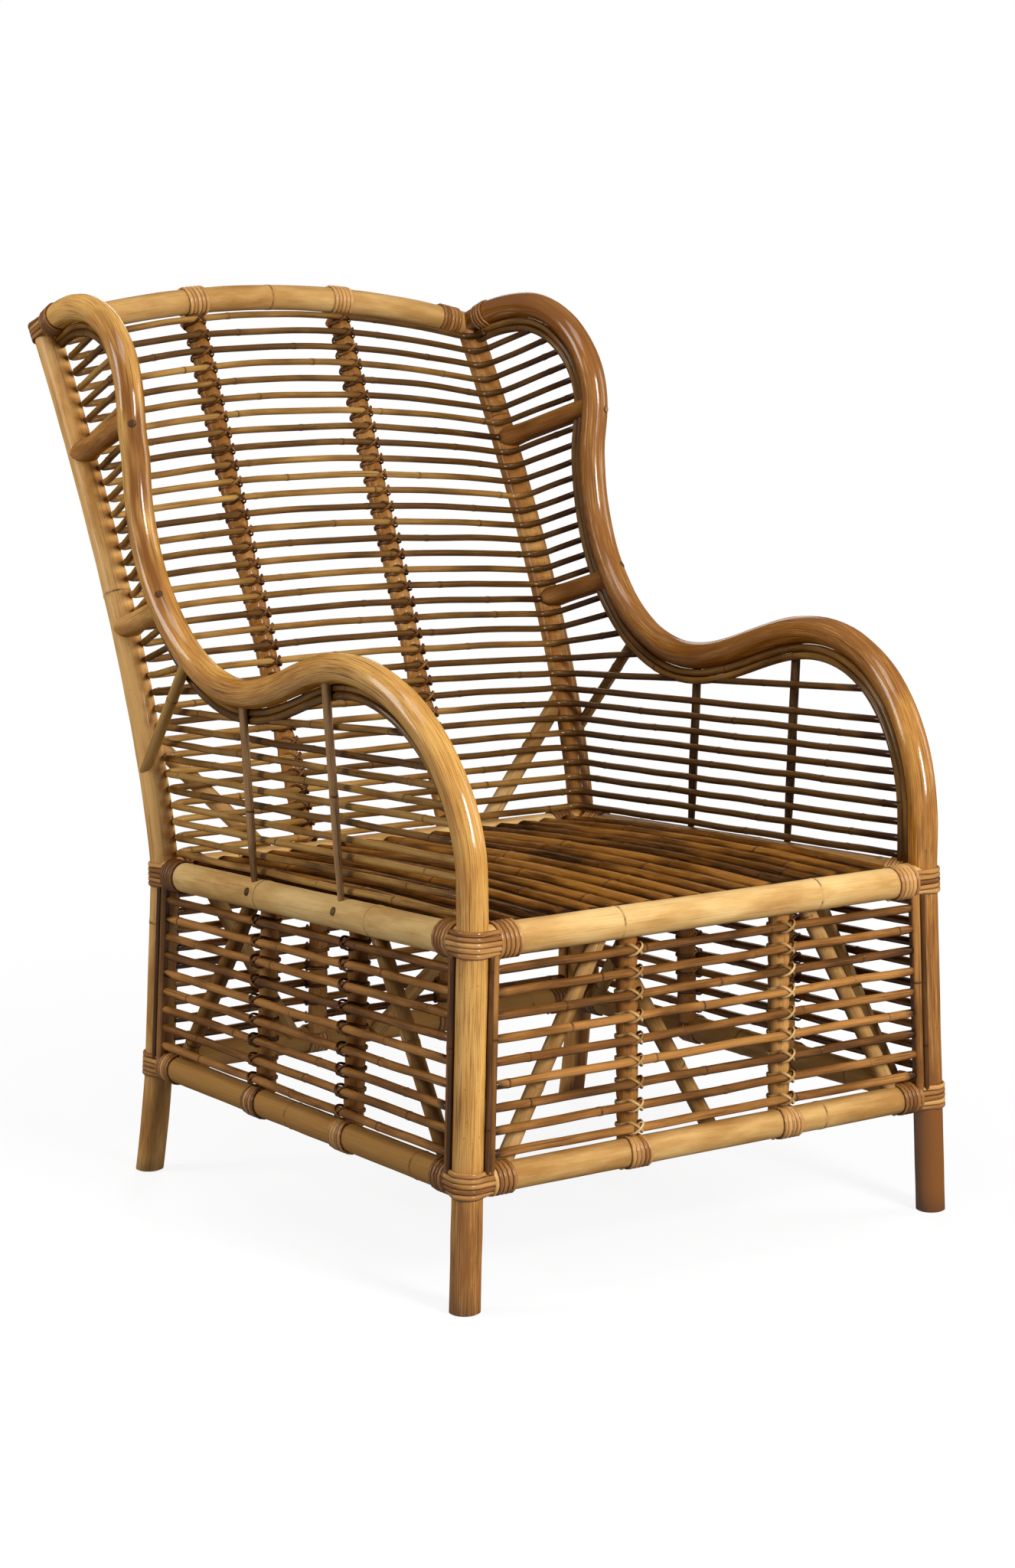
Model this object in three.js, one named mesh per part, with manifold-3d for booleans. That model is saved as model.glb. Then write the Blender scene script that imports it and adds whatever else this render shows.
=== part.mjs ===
// A rattan wing armchair: bent poles, straight rails, and thin canes for the back, arms, seat and base.
// Millimetres, +Z up. The front faces -Y and left is -X, as seen from the front.
import * as THREE from 'three';
import { mergeVertices } from 'three/addons/utils/BufferGeometryUtils.js';
import Module from 'manifold-3d';

const wasm = await Module();
wasm.setup();

const { lerp, smoothstep } = THREE.MathUtils;
const vector = (x, y, z) => new THREE.Vector3(x, y, z);
const QUARTER = Math.PI / 2;
const SIDES = [['left', -1], ['right', 1]];

// Diameters of the canes
const POLE_DIAMETER = 32;
const CREST_DIAMETER = 31;
const SEAT_RAIL_DIAMETER = 34;
const LOWER_RAIL_DIAMETER = 30;
const BACK_STILE_DIAMETER = 24;
const BASE_STILE_DIAMETER = 22;
const BASE_BRACE_DIAMETER = 18;
const BACK_BRACE_DIAMETER = 20;
const SPREADER_DIAMETER = 25;
const ARM_ROD_DIAMETER = 13;
const SPINDLE_WIDTH = 13;
const SPINDLE_THICKNESS = 8;
const LINER_DIAMETER = 9;
const BACK_SLAT_DIAMETER = 8.5;
const BASE_SLAT_DIAMETER = 9.5;
const END_STRIP_DIAMETER = 9.5;
const SEAT_SLAT_DIAMETER = 22;
const SEAT_BEARER_WIDTH = 24;
const SEAT_BEARER_HEIGHT = 15;
const SLAT_TIE_DIAMETER = 4;

// Fits: the space left between pieces that touch
const CLEARANCE = 0.3;
const SLAT_CLEARANCE = 0.5;
const BRACE_CLEARANCE = 1.5;

// Frame, to the centre lines of the poles; the front legs stand at y = 0
const SEAT_HALF_WIDTH = 294;
const FRONT_FOOT_SPLAY = 15;
const REAR_FOOT_SPLAY = 9;
const SEAT_DEPTH = 630;
const SEAT_FRONT_HEIGHT = 371;
const SEAT_REAR_HEIGHT = 354;
const LOWER_RAIL_HEIGHT = 131;
const REAR_LEG_SETBACK = 15;
const REAR_FOOT_SETBACK = 15;
const REAR_FOOT_BOW = 1.5;
const POST_TOP_SPLAY = 7;
const POST_TOP_HEIGHT = 971;
const POST_TOP_SETBACK = 249;
const POST_BOW = 1.48;
const CREST_RISE = 37;

// Arm and wing pole, to its centre line; each splay is how far it stands outside the seat's half width
const ARM_BEND_HEIGHT = 430;
const ARM_CROWN_SETBACK = 197;
const ARM_CROWN_HEIGHT = 626;
const ARM_SPLAY = 17;
const ARM_DIP_SETBACK = 424;
const ARM_DIP_HEIGHT = 580;
const ARM_DIP_SPLAY = 13;
const WING_SETBACK = 632;
const WING_LOW_HEIGHT = 815;
const WING_LOW_SPLAY = 22;
const WING_HIGH_HEIGHT = 873;
const WING_SPLAY = 27;
const WING_TOP_SETBACK = 768;
const WING_TOP_RISE = 25;
const WING_TOP_SPLAY = 18;
const LINER_INSET = 5;

// Back and arm slats
const BACK_SLAT_COUNT = 33;
const BACK_SLAT_TOP_DROP = 19;
const BACK_SLAT_LIFT = 2.8;
const BACK_SLAT_ARCH_FADE = 1.5;
const BACK_SLAT_BEND = 25;
const BEND_SHARE = 0.8;
const WING_SLAT_SLOPE = 0.28;
const WING_SLAT_START_HEIGHT = 520;
const WING_SLAT_FULL_HEIGHT = 620;
const BACK_STILE_FOOT_SPACING = 200;
const BACK_STILE_TOP_SPACING = 206;
const BACK_STILE_SWAY = 16;
const SLAT_TIE_GAP = 1;
const SPREADER_ROWS = [14, 25];

// Pieces outside the arms and behind the back
const SPINDLE_SETBACKS = [236, 415];
const SPINDLE_FOOT_OFFSET = 5;
const ARM_ROD_FOOT_HEIGHT = 470;
const ARM_ROD_HEAD_SETBACK = 525;
const ARM_ROD_OFFSET = 10;
const BACK_BRACE_HEIGHT = 515;
const BACK_BRACE_HALF_SPACING = 147;

// Seat
const SEAT_SLAT_COUNT = 17;
const SEAT_SLAT_EDGE_GAP = 7;
const SEAT_SLAT_LIFT = 3;
const SEAT_CROWN = 9;
const SEAT_BEARER_COUNT = 2;
const SEAT_BEARER_BITE = 2;

// Base panels
const BASE_SLAT_COUNT = 9;
const PANEL_OUTSET = 7;
const FRONT_STILE_SPACING = 200;
const SIDE_STILE_SPACING = 183;
const REAR_STILE_SPACING = 184;
const BRACE_FOOT = 42;
const BRACE_HEAD = 28;
const INNER_BRACE_FOOT = 18;
const INNER_BRACE_INSET = 20;
const REAR_INNER_BRACE_HEAD_OFFSET = 195;

// Cane bindings wound round the crest rail and the front lower rail
const BINDING_DIAMETER = 4.6;
const BINDING_PITCH = 5.6;
const BINDING_TURNS = 5;
const BINDING_STEPS = 8;
const SLEEVE_SIDES = 12;
const BINDING_GAP = 3;

// How far short of the centre line of the piece it meets a coped end stops, as a share of that piece's radius
const COPE = 0.6;
const LEAN_STEP = 5;
const FLOOR_ALLOWANCE = 30;
const FLOOR_SIZE = 4000;

// Facets round each kind of cane, and steps along the bends
const POLE_SIDES = 10;
const STILE_SIDES = 8;
const BRACE_SIDES = 7;
const STRIP_SIDES = 6;
const SLAT_SIDES = 5;
const CORD_SIDES = 4;
const ARC_STEPS = 7;
const DIP_STEPS = 6;
const WING_TOP_STEPS = 4;
const POST_STEPS = 14;
const STILE_STEPS = 12;
const CREST_HALF_STEPS = 6;

// Canes as seen in the photograph: colour, then roughness
const cane = (color, roughness) => new THREE.MeshStandardMaterial({ color, roughness, metalness: 0 });
const honeyCane = cane(0xb98748, 0.35);
const strawCane = cane(0xd9b777, 0.4);
const amberCane = cane(0xa8733a, 0.45);
const brownCane = cane(0x87582d, 0.5);

// A run of points that ExtrudeGeometry follows corner by corner
class Route extends THREE.Curve {
  constructor(points) {
    super();
    this.points = points;
  }

  getPoint(t, target = vector(0, 0, 0)) {
    const place = t * (this.points.length - 1);
    const index = Math.min(Math.floor(place), this.points.length - 2);
    return target.lerpVectors(this.points[index], this.points[index + 1], place - index);
  }

  getUtoTmapping(u) {
    return u;
  }

  getTangent(t, target = vector(0, 0, 0)) {
    const last = this.points.length - 1;
    const index = Math.round(t * last);
    const before = direction(this.points[Math.max(index - 1, 0)], this.points[Math.max(index, 1)]);
    const after = direction(this.points[Math.min(index, last - 1)], this.points[Math.min(index + 1, last)]);
    return target.addVectors(before, after).normalize();
  }
}

function direction(from, to) {
  return to.clone().sub(from).normalize();
}

function between(from, to, share) {
  return from.clone().lerp(to, share);
}

function mirrored(points, side) {
  return points.map((point) => vector(point.x * side, point.y, point.z));
}

// Closed geometry to a solid for joining and cutting, and back
function solidOf(geometry) {
  geometry.deleteAttribute('normal');
  geometry.deleteAttribute('uv');
  const merged = mergeVertices(geometry);
  const vertProperties = new Float32Array(merged.attributes.position.array);
  const triVerts = new Uint32Array(merged.index.array);
  return new wasm.Manifold(new wasm.Mesh({ numProp: 3, vertProperties, triVerts }));
}

function geometryOf(solid) {
  const mesh = solid.getMesh();
  const geometry = new THREE.BufferGeometry();
  geometry.setAttribute('position', new THREE.BufferAttribute(mesh.vertProperties, 3));
  geometry.setIndex(new THREE.BufferAttribute(mesh.triVerts, 1));
  geometry.computeVertexNormals();
  return geometry;
}

function oval(width, thickness, sides) {
  const corners = [];
  for (let i = 0; i < sides; i += 1) {
    const angle = (2 * Math.PI * (i + 0.5)) / sides;
    corners.push(new THREE.Vector2((Math.cos(angle) * width) / 2, (Math.sin(angle) * thickness) / 2));
  }
  return new THREE.Shape(corners);
}

// A bent cane; called with a growth, it gives the space that its neighbours keep clear
function bent(points, diameter, sides) {
  return (growth = 0) => {
    const size = diameter + 2 * growth;
    const options = { steps: points.length - 1, extrudePath: new Route(points) };
    return solidOf(new THREE.ExtrudeGeometry(oval(size, size, sides), options));
  };
}

// A straight cane whose width lies along the facing direction
function straight(from, to, width, thickness, sides, facing) {
  return (growth = 0) => {
    const outline = oval(width + 2 * growth, thickness + 2 * growth, sides);
    const geometry = new THREE.ExtrudeGeometry(outline, { depth: from.distanceTo(to), bevelEnabled: false });
    const along = direction(from, to);
    const across = facing.clone().addScaledVector(along, -facing.dot(along)).normalize();
    const basis = new THREE.Matrix4().makeBasis(across, along.clone().cross(across), along);
    return solidOf(geometry.applyMatrix4(basis.setPosition(from)));
  };
}

function rod(from, to, diameter, sides) {
  const along = direction(from, to);
  const facing = Math.abs(along.z) > 0.7 ? vector(1, 0, 0) : vector(0, 0, 1);
  return straight(from, to, diameter, diameter, sides, facing);
}

function cut(solid, neighbours) {
  return neighbours.reduce((rest, neighbour) => rest.subtract(neighbour(CLEARANCE)), solid);
}

const chair = new THREE.Group();

function add(name, solid, material) {
  const mesh = new THREE.Mesh(geometryOf(solid), material.clone());
  mesh.name = name;
  chair.add(mesh);
}

// Centre lines of the legs, for the right side
const postTopHalfWidth = SEAT_HALF_WIDTH + POST_TOP_SPLAY;

function frontLeg(height) {
  return vector(lerp(SEAT_HALF_WIDTH + FRONT_FOOT_SPLAY, SEAT_HALF_WIDTH, height / SEAT_FRONT_HEIGHT), 0, height);
}

function rearPost(height) {
  if (height < SEAT_REAR_HEIGHT) {
    const x = lerp(SEAT_HALF_WIDTH + REAR_FOOT_SPLAY, SEAT_HALF_WIDTH, height / SEAT_REAR_HEIGHT);
    const leg = (SEAT_REAR_HEIGHT - height) / (SEAT_REAR_HEIGHT - LOWER_RAIL_HEIGHT);
    const foot = Math.max(0, 1 - height / LOWER_RAIL_HEIGHT) ** REAR_FOOT_BOW;
    return vector(x, SEAT_DEPTH + REAR_LEG_SETBACK * leg + REAR_FOOT_SETBACK * foot, height);
  }
  const up = (height - SEAT_REAR_HEIGHT) / (POST_TOP_HEIGHT - SEAT_REAR_HEIGHT);
  const x = lerp(SEAT_HALF_WIDTH, postTopHalfWidth, up);
  return vector(x, SEAT_DEPTH + POST_TOP_SETBACK * up ** POST_BOW, height);
}

function onCrest(x) {
  const rise = CREST_RISE * (1 - (x / postTopHalfWidth) ** 2);
  return vector(x, SEAT_DEPTH + POST_TOP_SETBACK, POST_TOP_HEIGHT + rise);
}

function legOf(side, leg) {
  return (height) => mirrored([leg(height)], side)[0];
}

// Cosine of the post's lean, which stretches its section in plan
function postUpright(height) {
  const above = rearPost(height + LEAN_STEP);
  const below = rearPost(height - LEAN_STEP);
  return (above.z - below.z) / Math.hypot(above.z - below.z, above.y - below.y);
}

// The arm pole: front leg, arm, dip and wing in one bent cane, for the right side
function armRoute() {
  const route = [frontLeg(-FLOOR_ALLOWANCE), frontLeg(SEAT_FRONT_HEIGHT)];
  route.push(vector(SEAT_HALF_WIDTH, 0, ARM_BEND_HEIGHT));
  const sweep = (steps, splay, place) => {
    const fromHalfWidth = route.at(-1).x;
    const toHalfWidth = SEAT_HALF_WIDTH + splay;
    for (let i = 1; i <= steps; i += 1) {
      const [y, z] = place(i / steps);
      route.push(vector(lerp(fromHalfWidth, toHalfWidth, smoothstep(i / steps, 0, 1)), y, z));
    }
  };
  sweep(ARC_STEPS, ARM_SPLAY, (t) => [
    ARM_CROWN_SETBACK * (1 - Math.cos(t * QUARTER)),
    lerp(ARM_BEND_HEIGHT, ARM_CROWN_HEIGHT, Math.sin(t * QUARTER)),
  ]);
  sweep(DIP_STEPS, ARM_DIP_SPLAY, (t) => [
    lerp(ARM_CROWN_SETBACK, ARM_DIP_SETBACK, t),
    lerp(ARM_CROWN_HEIGHT, ARM_DIP_HEIGHT, (1 - Math.cos(Math.PI * t)) / 2),
  ]);
  sweep(ARC_STEPS, WING_LOW_SPLAY, (t) => [
    lerp(ARM_DIP_SETBACK, WING_SETBACK, Math.sin(t * QUARTER)),
    lerp(ARM_DIP_HEIGHT, WING_LOW_HEIGHT, 1 - Math.cos(t * QUARTER)),
  ]);
  sweep(1, WING_SPLAY, () => [WING_SETBACK, WING_HIGH_HEIGHT]);
  const wingTopHeight = POST_TOP_HEIGHT + WING_TOP_RISE;
  sweep(ARC_STEPS, WING_TOP_SPLAY, (t) => [
    lerp(WING_SETBACK, WING_TOP_SETBACK, 1 - Math.cos(t * QUARTER)),
    lerp(WING_HIGH_HEIGHT, wingTopHeight, Math.sin(t * QUARTER)),
  ]);
  sweep(WING_TOP_STEPS, POST_TOP_SPLAY, (t) => [
    lerp(WING_TOP_SETBACK, SEAT_DEPTH + POST_TOP_SETBACK, t),
    lerp(wingTopHeight, POST_TOP_HEIGHT, t * t),
  ]);
  return route;
}

// A cane lying along the inside of the arm pole, from the seat rail to the post
function linerRoute(offset) {
  const points = armPath.points;
  return points.slice(1).map((point, i) => {
    const along = armPath.getTangent((i + 1) / (points.length - 1));
    const inward = vector(0, along.z, -along.y).normalize();
    return point.clone().addScaledVector(inward, offset).sub(vector(LINER_INSET, 0, 0));
  });
}

// The point of the arm pole at a given setback, on its first run above a height
function armAt(setback, fromHeight) {
  const points = armPath.points;
  for (let i = 1; i < points.length; i += 1) {
    const [a, b] = [points[i - 1], points[i]];
    if (b.z >= fromHeight && a.y <= setback && b.y > setback) {
      return between(a, b, (setback - a.y) / (b.y - a.y));
    }
  }
  return points.at(-1).clone();
}

const armPath = new Route(armRoute());
const outerLinerOffset = (POLE_DIAMETER + LINER_DIAMETER) / 2 + CLEARANCE;
const innerLinerOffset = outerLinerOffset + LINER_DIAMETER + CLEARANCE;
const innerLiner = linerRoute(innerLinerOffset);

// Slat rows: the height of each row is taken at the rear post
const lowestSlat = SEAT_REAR_HEIGHT + (SEAT_RAIL_DIAMETER + BACK_SLAT_DIAMETER) / 2 + BACK_SLAT_LIFT;
const highestSlat = POST_TOP_HEIGHT - BACK_SLAT_TOP_DROP;
const slatStandoff = (POLE_DIAMETER + BACK_SLAT_DIAMETER) / 2 + SLAT_CLEARANCE;

function slatSlope(height) {
  const armSlope = (SEAT_FRONT_HEIGHT - SEAT_REAR_HEIGHT) / SEAT_DEPTH;
  return lerp(armSlope, WING_SLAT_SLOPE, smoothstep(height, WING_SLAT_START_HEIGHT, WING_SLAT_FULL_HEIGHT));
}

function slatArch(height) {
  const share = (height - SEAT_REAR_HEIGHT) / (POST_TOP_HEIGHT - SEAT_REAR_HEIGHT);
  return CREST_RISE * Math.max(0, share) ** BACK_SLAT_ARCH_FADE;
}

// The places where a row running forward from the post crosses the inner liner, rearmost first
function linerCrossings(height) {
  const post = rearPost(height);
  const above = (point) => point.z - height - slatSlope(height) * (post.y - point.y);
  const crossings = [];
  for (let i = 1; i < innerLiner.length; i += 1) {
    const [a, b] = [above(innerLiner[i - 1]), above(innerLiner[i])];
    if (a * b < 0) {
      crossings.push(between(innerLiner[i - 1], innerLiner[i], a / (a - b)));
    }
  }
  return crossings.sort((a, b) => b.y - a.y);
}

// Where a row ends; a row that passes above the liner only turns the corner of the back
function slatEnd(height) {
  return linerCrossings(height)[0] ?? rearPost(height).sub(vector(0, 2 * POLE_DIAMETER, 0));
}

// The corner that a row turns round the inside of the post, and the bend there, seen along the post
function slatCorner(height) {
  const post = rearPost(height);
  const end = slatEnd(height);
  const upright = postUpright(height);
  const forward = new THREE.Vector2(end.x - post.x, (end.y - post.y) * upright).normalize();
  const across = new THREE.Vector2(1, 0);
  const halfTurn = Math.acos(across.dot(forward)) / 2;
  const inward = forward.clone().sub(across).normalize();
  const reach = slatStandoff - BACK_SLAT_BEND * (1 / Math.cos(halfTurn) - 1);
  const corner = vector(post.x + inward.x * reach, post.y + (inward.y * reach) / upright, height);
  return { post, end, upright, forward, halfTurn, corner };
}

// The right half of a row, from the middle of the back round the post
function slatHalf(height) {
  const { post, end, upright, forward, halfTurn, corner } = slatCorner(height);
  const room = Math.hypot(end.x - corner.x, end.y - corner.y);
  const tangent = Math.min(BACK_SLAT_BEND * Math.tan(halfTurn), BEND_SHARE * room);
  const start = vector(corner.x - tangent, corner.y, height);
  const finish = vector(corner.x + forward.x * tangent, corner.y + (forward.y * tangent) / upright, height);
  const plan = [vector(0, corner.y, height)];
  if (slatArch(height) > BACK_SLAT_DIAMETER / 2) {
    plan.push(vector(start.x / 2, corner.y, height));
  }
  for (const t of [0, 0.5, 1]) {
    plan.push(between(between(start, corner, t), between(corner, finish, t), t));
  }
  return plan.map((point) => {
    const arch = slatArch(height) * Math.max(0, 1 - (point.x / post.x) ** 2);
    const rise = slatSlope(height) * (corner.y - point.y);
    return vector(point.x, point.y, height + arch + rise);
  });
}

const slatPitch = (highestSlat - lowestSlat) / (BACK_SLAT_COUNT - 1);
const spreaderHeights = SPREADER_ROWS.map((row) => lowestSlat + row * slatPitch);

function spreaderEnds(height) {
  const post = rearPost(height);
  const points = armPath.points;
  const slope = slatSlope(height);
  const above = (point) => point.z - height - slope * (post.y - point.y);
  for (let i = points.length - 1; i > 0; i -= 1) {
    const [a, b] = [above(points[i - 1]), above(points[i])];
    if (a * b < 0 && points[i].z > ARM_DIP_HEIGHT) {
      const wing = between(points[i - 1], points[i], a / (a - b));
      if (wing.y < post.y - POLE_DIAMETER) {
        return { post, wing };
      }
    }
  }
  throw new Error('a wing spreader misses the wing pole');
}

// A row stops at the post where a wing spreader takes its place
function meetsSpreader(height) {
  const reach = (SPREADER_DIAMETER + BACK_SLAT_DIAMETER) / 2 + SLAT_CLEARANCE;
  return spreaderHeights.some((spreader) => {
    const slope = Math.atan(slatSlope(spreader));
    return Math.abs(height - spreader) * Math.cos(slope) < reach;
  });
}

// Main poles
const floorBox = new THREE.BoxGeometry(FLOOR_SIZE, FLOOR_SIZE, 4 * FLOOR_ALLOWANCE);
const floor = solidOf(floorBox.translate(0, 0, -2 * FLOOR_ALLOWANCE));

const crestPoints = [];
for (let i = -CREST_HALF_STEPS; i <= CREST_HALF_STEPS; i += 1) {
  crestPoints.push(onCrest((i / CREST_HALF_STEPS) * (postTopHalfWidth - (COPE * POLE_DIAMETER) / 2)));
}
const crest = bent(crestPoints, CREST_DIAMETER, POLE_SIDES);

const postHeights = [-FLOOR_ALLOWANCE, 0, LOWER_RAIL_HEIGHT / 2, LOWER_RAIL_HEIGHT];
for (let i = 0; i <= POST_STEPS; i += 1) {
  postHeights.push(lerp(SEAT_REAR_HEIGHT, POST_TOP_HEIGHT, i / POST_STEPS));
}

const armPoles = {};
const posts = {};
for (const [name, side] of SIDES) {
  armPoles[name] = bent(mirrored(armPath.points, side), POLE_DIAMETER, POLE_SIDES);
  posts[name] = bent(mirrored(postHeights.map(rearPost), side), POLE_DIAMETER, POLE_SIDES);
}
for (const [name] of SIDES) {
  add(`${name}_arm_pole`, armPoles[name]().subtract(floor), honeyCane);
  add(`${name}_rear_post`, cut(posts[name]().subtract(floor), [armPoles[name], crest]), honeyCane);
}
add('crest_rail', cut(crest(), [armPoles.left, armPoles.right]), strawCane);

// Rails between the legs
function railBetween(from, to, diameter) {
  const inset = (COPE * POLE_DIAMETER) / 2;
  const along = direction(from, to).multiplyScalar(inset);
  return rod(from.clone().add(along), to.clone().sub(along), diameter, POLE_SIDES);
}

const corners = {};
for (const [name, side] of SIDES) {
  const front = legOf(side, frontLeg);
  const rear = legOf(side, rearPost);
  corners[name] = { front, rear };
}
const railHeights = {
  seat: { front: SEAT_FRONT_HEIGHT, rear: SEAT_REAR_HEIGHT, diameter: SEAT_RAIL_DIAMETER },
  lower: { front: LOWER_RAIL_HEIGHT, rear: LOWER_RAIL_HEIGHT, diameter: LOWER_RAIL_DIAMETER },
};
const rails = {};
for (const [level, { front, rear, diameter }] of Object.entries(railHeights)) {
  const { left, right } = corners;
  rails[level] = {
    front: railBetween(left.front(front), right.front(front), diameter),
    rear: railBetween(left.rear(rear), right.rear(rear), diameter),
    left: railBetween(left.front(front), left.rear(rear), diameter),
    right: railBetween(right.front(front), right.rear(rear), diameter),
  };
  const legs = [armPoles.left, armPoles.right, posts.left, posts.right];
  for (const face of ['front', 'rear']) {
    add(`${face}_${level}_rail`, cut(rails[level][face](), legs), strawCane);
  }
  for (const face of ['left', 'right']) {
    const solid = cut(rails[level][face](), [...legs, rails[level].front, rails[level].rear]);
    add(`${face}_${level}_rail`, solid, strawCane);
  }
}

// Bindings: one cane each, wound round a rail; the sleeve is the space that a binding takes up
const bindingWidth = BINDING_PITCH * BINDING_TURNS;

function leastSelfGap(points) {
  let least = Infinity;
  points.forEach((point, i) => {
    for (let j = i + BINDING_STEPS / 2; j < points.length; j += 1) {
      least = Math.min(least, point.distanceTo(points[j]));
    }
  });
  return least - BINDING_DIAMETER;
}

function binding(name, middle, along, railDiameter) {
  const radius = ((railDiameter + BINDING_DIAMETER) / 2 + CLEARANCE) / Math.cos(Math.PI / BINDING_STEPS);
  const up = vector(0, 0, 1).addScaledVector(along, -along.z).normalize();
  const out = along.clone().cross(up);
  const start = middle.clone().addScaledVector(along, -bindingWidth / 2);
  const points = [];
  for (let i = 0; i <= BINDING_TURNS * BINDING_STEPS; i += 1) {
    const angle = (2 * Math.PI * i) / BINDING_STEPS;
    const point = start.clone().addScaledVector(along, (BINDING_PITCH * i) / BINDING_STEPS);
    point.addScaledVector(up, -radius * Math.cos(angle));
    points.push(point.addScaledVector(out, radius * Math.sin(angle)));
  }
  console.log(`${name}: least gap between its turns ${leastSelfGap(points).toFixed(2)} mm`);
  add(name, bent(points, BINDING_DIAMETER, CORD_SIDES)(), brownCane);
  const overhang = bindingWidth / 2 + BINDING_DIAMETER;
  const ends = [-overhang, overhang].map((shift) => middle.clone().addScaledVector(along, shift));
  return rod(...ends, (2 * radius + BINDING_DIAMETER) / Math.cos(Math.PI / SLEEVE_SIDES), SLEEVE_SIDES);
}

function crestBinding(name, x) {
  const along = direction(onCrest(x - bindingWidth / 2), onCrest(x + bindingWidth / 2));
  return binding(name, onCrest(x), along, CREST_DIAMETER);
}

const crestSleeves = [];
const lowerSleeves = [];
for (const [name, side] of SIDES) {
  const corner = postTopHalfWidth - POLE_DIAMETER / 2 - BINDING_GAP - (bindingWidth + BINDING_DIAMETER) / 2;
  crestBinding(`${name}_crest_corner_binding`, side * corner);
  crestSleeves.push(crestBinding(`${name}_crest_stile_binding`, (side * BACK_STILE_TOP_SPACING) / 2));
  const foot = vector((side * FRONT_STILE_SPACING) / 2, 0, LOWER_RAIL_HEIGHT);
  lowerSleeves.push(binding(`front_lower_${name}_binding`, foot, vector(1, 0, 0), LOWER_RAIL_DIAMETER));
}

// Back stiles stand just behind the slats
function backStileAxis(height, side) {
  const share = (height - SEAT_REAR_HEIGHT) / (POST_TOP_HEIGHT - SEAT_REAR_HEIGHT);
  const spacing = lerp(BACK_STILE_FOOT_SPACING, BACK_STILE_TOP_SPACING, share);
  const x = (side * spacing) / 2 - BACK_STILE_SWAY * Math.sin(Math.PI * share);
  let row = height;
  for (let i = 0; i < 4; i += 1) {
    row = height - slatArch(row) * (1 - (x / rearPost(row).x) ** 2);
  }
  const { upright, corner } = slatCorner(row);
  const behind = (BACK_SLAT_DIAMETER + BACK_STILE_DIAMETER) / 2 + SLAT_CLEARANCE;
  return { axis: vector(x, corner.y + behind / upright, height), slat: corner.y };
}

const stileBottom = SEAT_REAR_HEIGHT + (COPE * SEAT_RAIL_DIAMETER) / 2;
const stileTop = onCrest(BACK_STILE_TOP_SPACING / 2).z - (COPE * CREST_DIAMETER) / 2;
const stileHeights = [];
for (let i = 0; i <= STILE_STEPS; i += 1) {
  stileHeights.push(lerp(stileBottom, stileTop, i / STILE_STEPS));
}
for (const [name, side] of SIDES) {
  const points = stileHeights.map((height) => backStileAxis(height, side).axis);
  const stile = bent(points, BACK_STILE_DIAMETER, STILE_SIDES);
  add(`${name}_back_stile`, cut(stile(), [rails.seat.rear, crest, ...crestSleeves]), honeyCane);
}

// Back and arm slats: rows round the inside of the posts and the inner liners.
// A row that stops at the post is tied to the row below it, beside each stile.
const outerLiners = {};
const innerLiners = {};
for (const [name, side] of SIDES) {
  const around = [rails.seat[name], armPoles[name], posts[name]];
  innerLiners[name] = bent(mirrored(innerLiner, side), LINER_DIAMETER, SLAT_SIDES);
  outerLiners[name] = bent(mirrored(linerRoute(outerLinerOffset), side), LINER_DIAMETER, SLAT_SIDES);
  add(`${name}_outer_liner`, cut(outerLiners[name](), around), amberCane);
}

const spreaders = {};
for (const [name, side] of SIDES) {
  spreaders[name] = spreaderHeights.map((height) => {
    const { post, wing } = spreaderEnds(height);
    return rod(...mirrored([post, wing], side), SPREADER_DIAMETER, STILE_SIDES);
  });
}

function onSlat(height, x) {
  const { post, corner } = slatCorner(height);
  return vector(x, corner.y, height + slatArch(height) * (1 - (x / post.x) ** 2));
}

const slatPieces = [];
for (let row = 0; row < BACK_SLAT_COUNT; row += 1) {
  const height = lowestSlat + row * slatPitch;
  const crossings = linerCrossings(height);
  const half = slatHalf(height);
  if (crossings.length > 0 && !meetsSpreader(height)) {
    half.push(crossings[0]);
  } else {
    const beside = (BACK_STILE_DIAMETER + SLAT_TIE_DIAMETER) / 2 + SLAT_TIE_GAP;
    for (const [, side] of SIDES) {
      const x = backStileAxis(height, side).axis.x - beside * side;
      slatPieces.push(rod(onSlat(height - slatPitch, x), onSlat(height, x), SLAT_TIE_DIAMETER, CORD_SIDES)());
    }
  }
  const whole = [...mirrored(half.slice(1), -1).reverse(), ...half];
  slatPieces.push(cut(bent(whole, BACK_SLAT_DIAMETER, SLAT_SIDES)(), [...spreaders.left, ...spreaders.right]));
  for (let i = 1; i + 1 < crossings.length; i += 2) {
    for (const [, side] of SIDES) {
      slatPieces.push(bent(mirrored([crossings[i], crossings[i + 1]], side), BACK_SLAT_DIAMETER, SLAT_SIDES)());
    }
  }
}
for (const [name] of SIDES) {
  slatPieces.push(cut(innerLiners[name](), [rails.seat[name], armPoles[name], posts[name]]));
}
const slatWork = slatPieces.reduce((all, piece) => all.add(piece));
add('back_and_arm_slats', cut(slatWork, Object.values(outerLiners)), amberCane);

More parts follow.
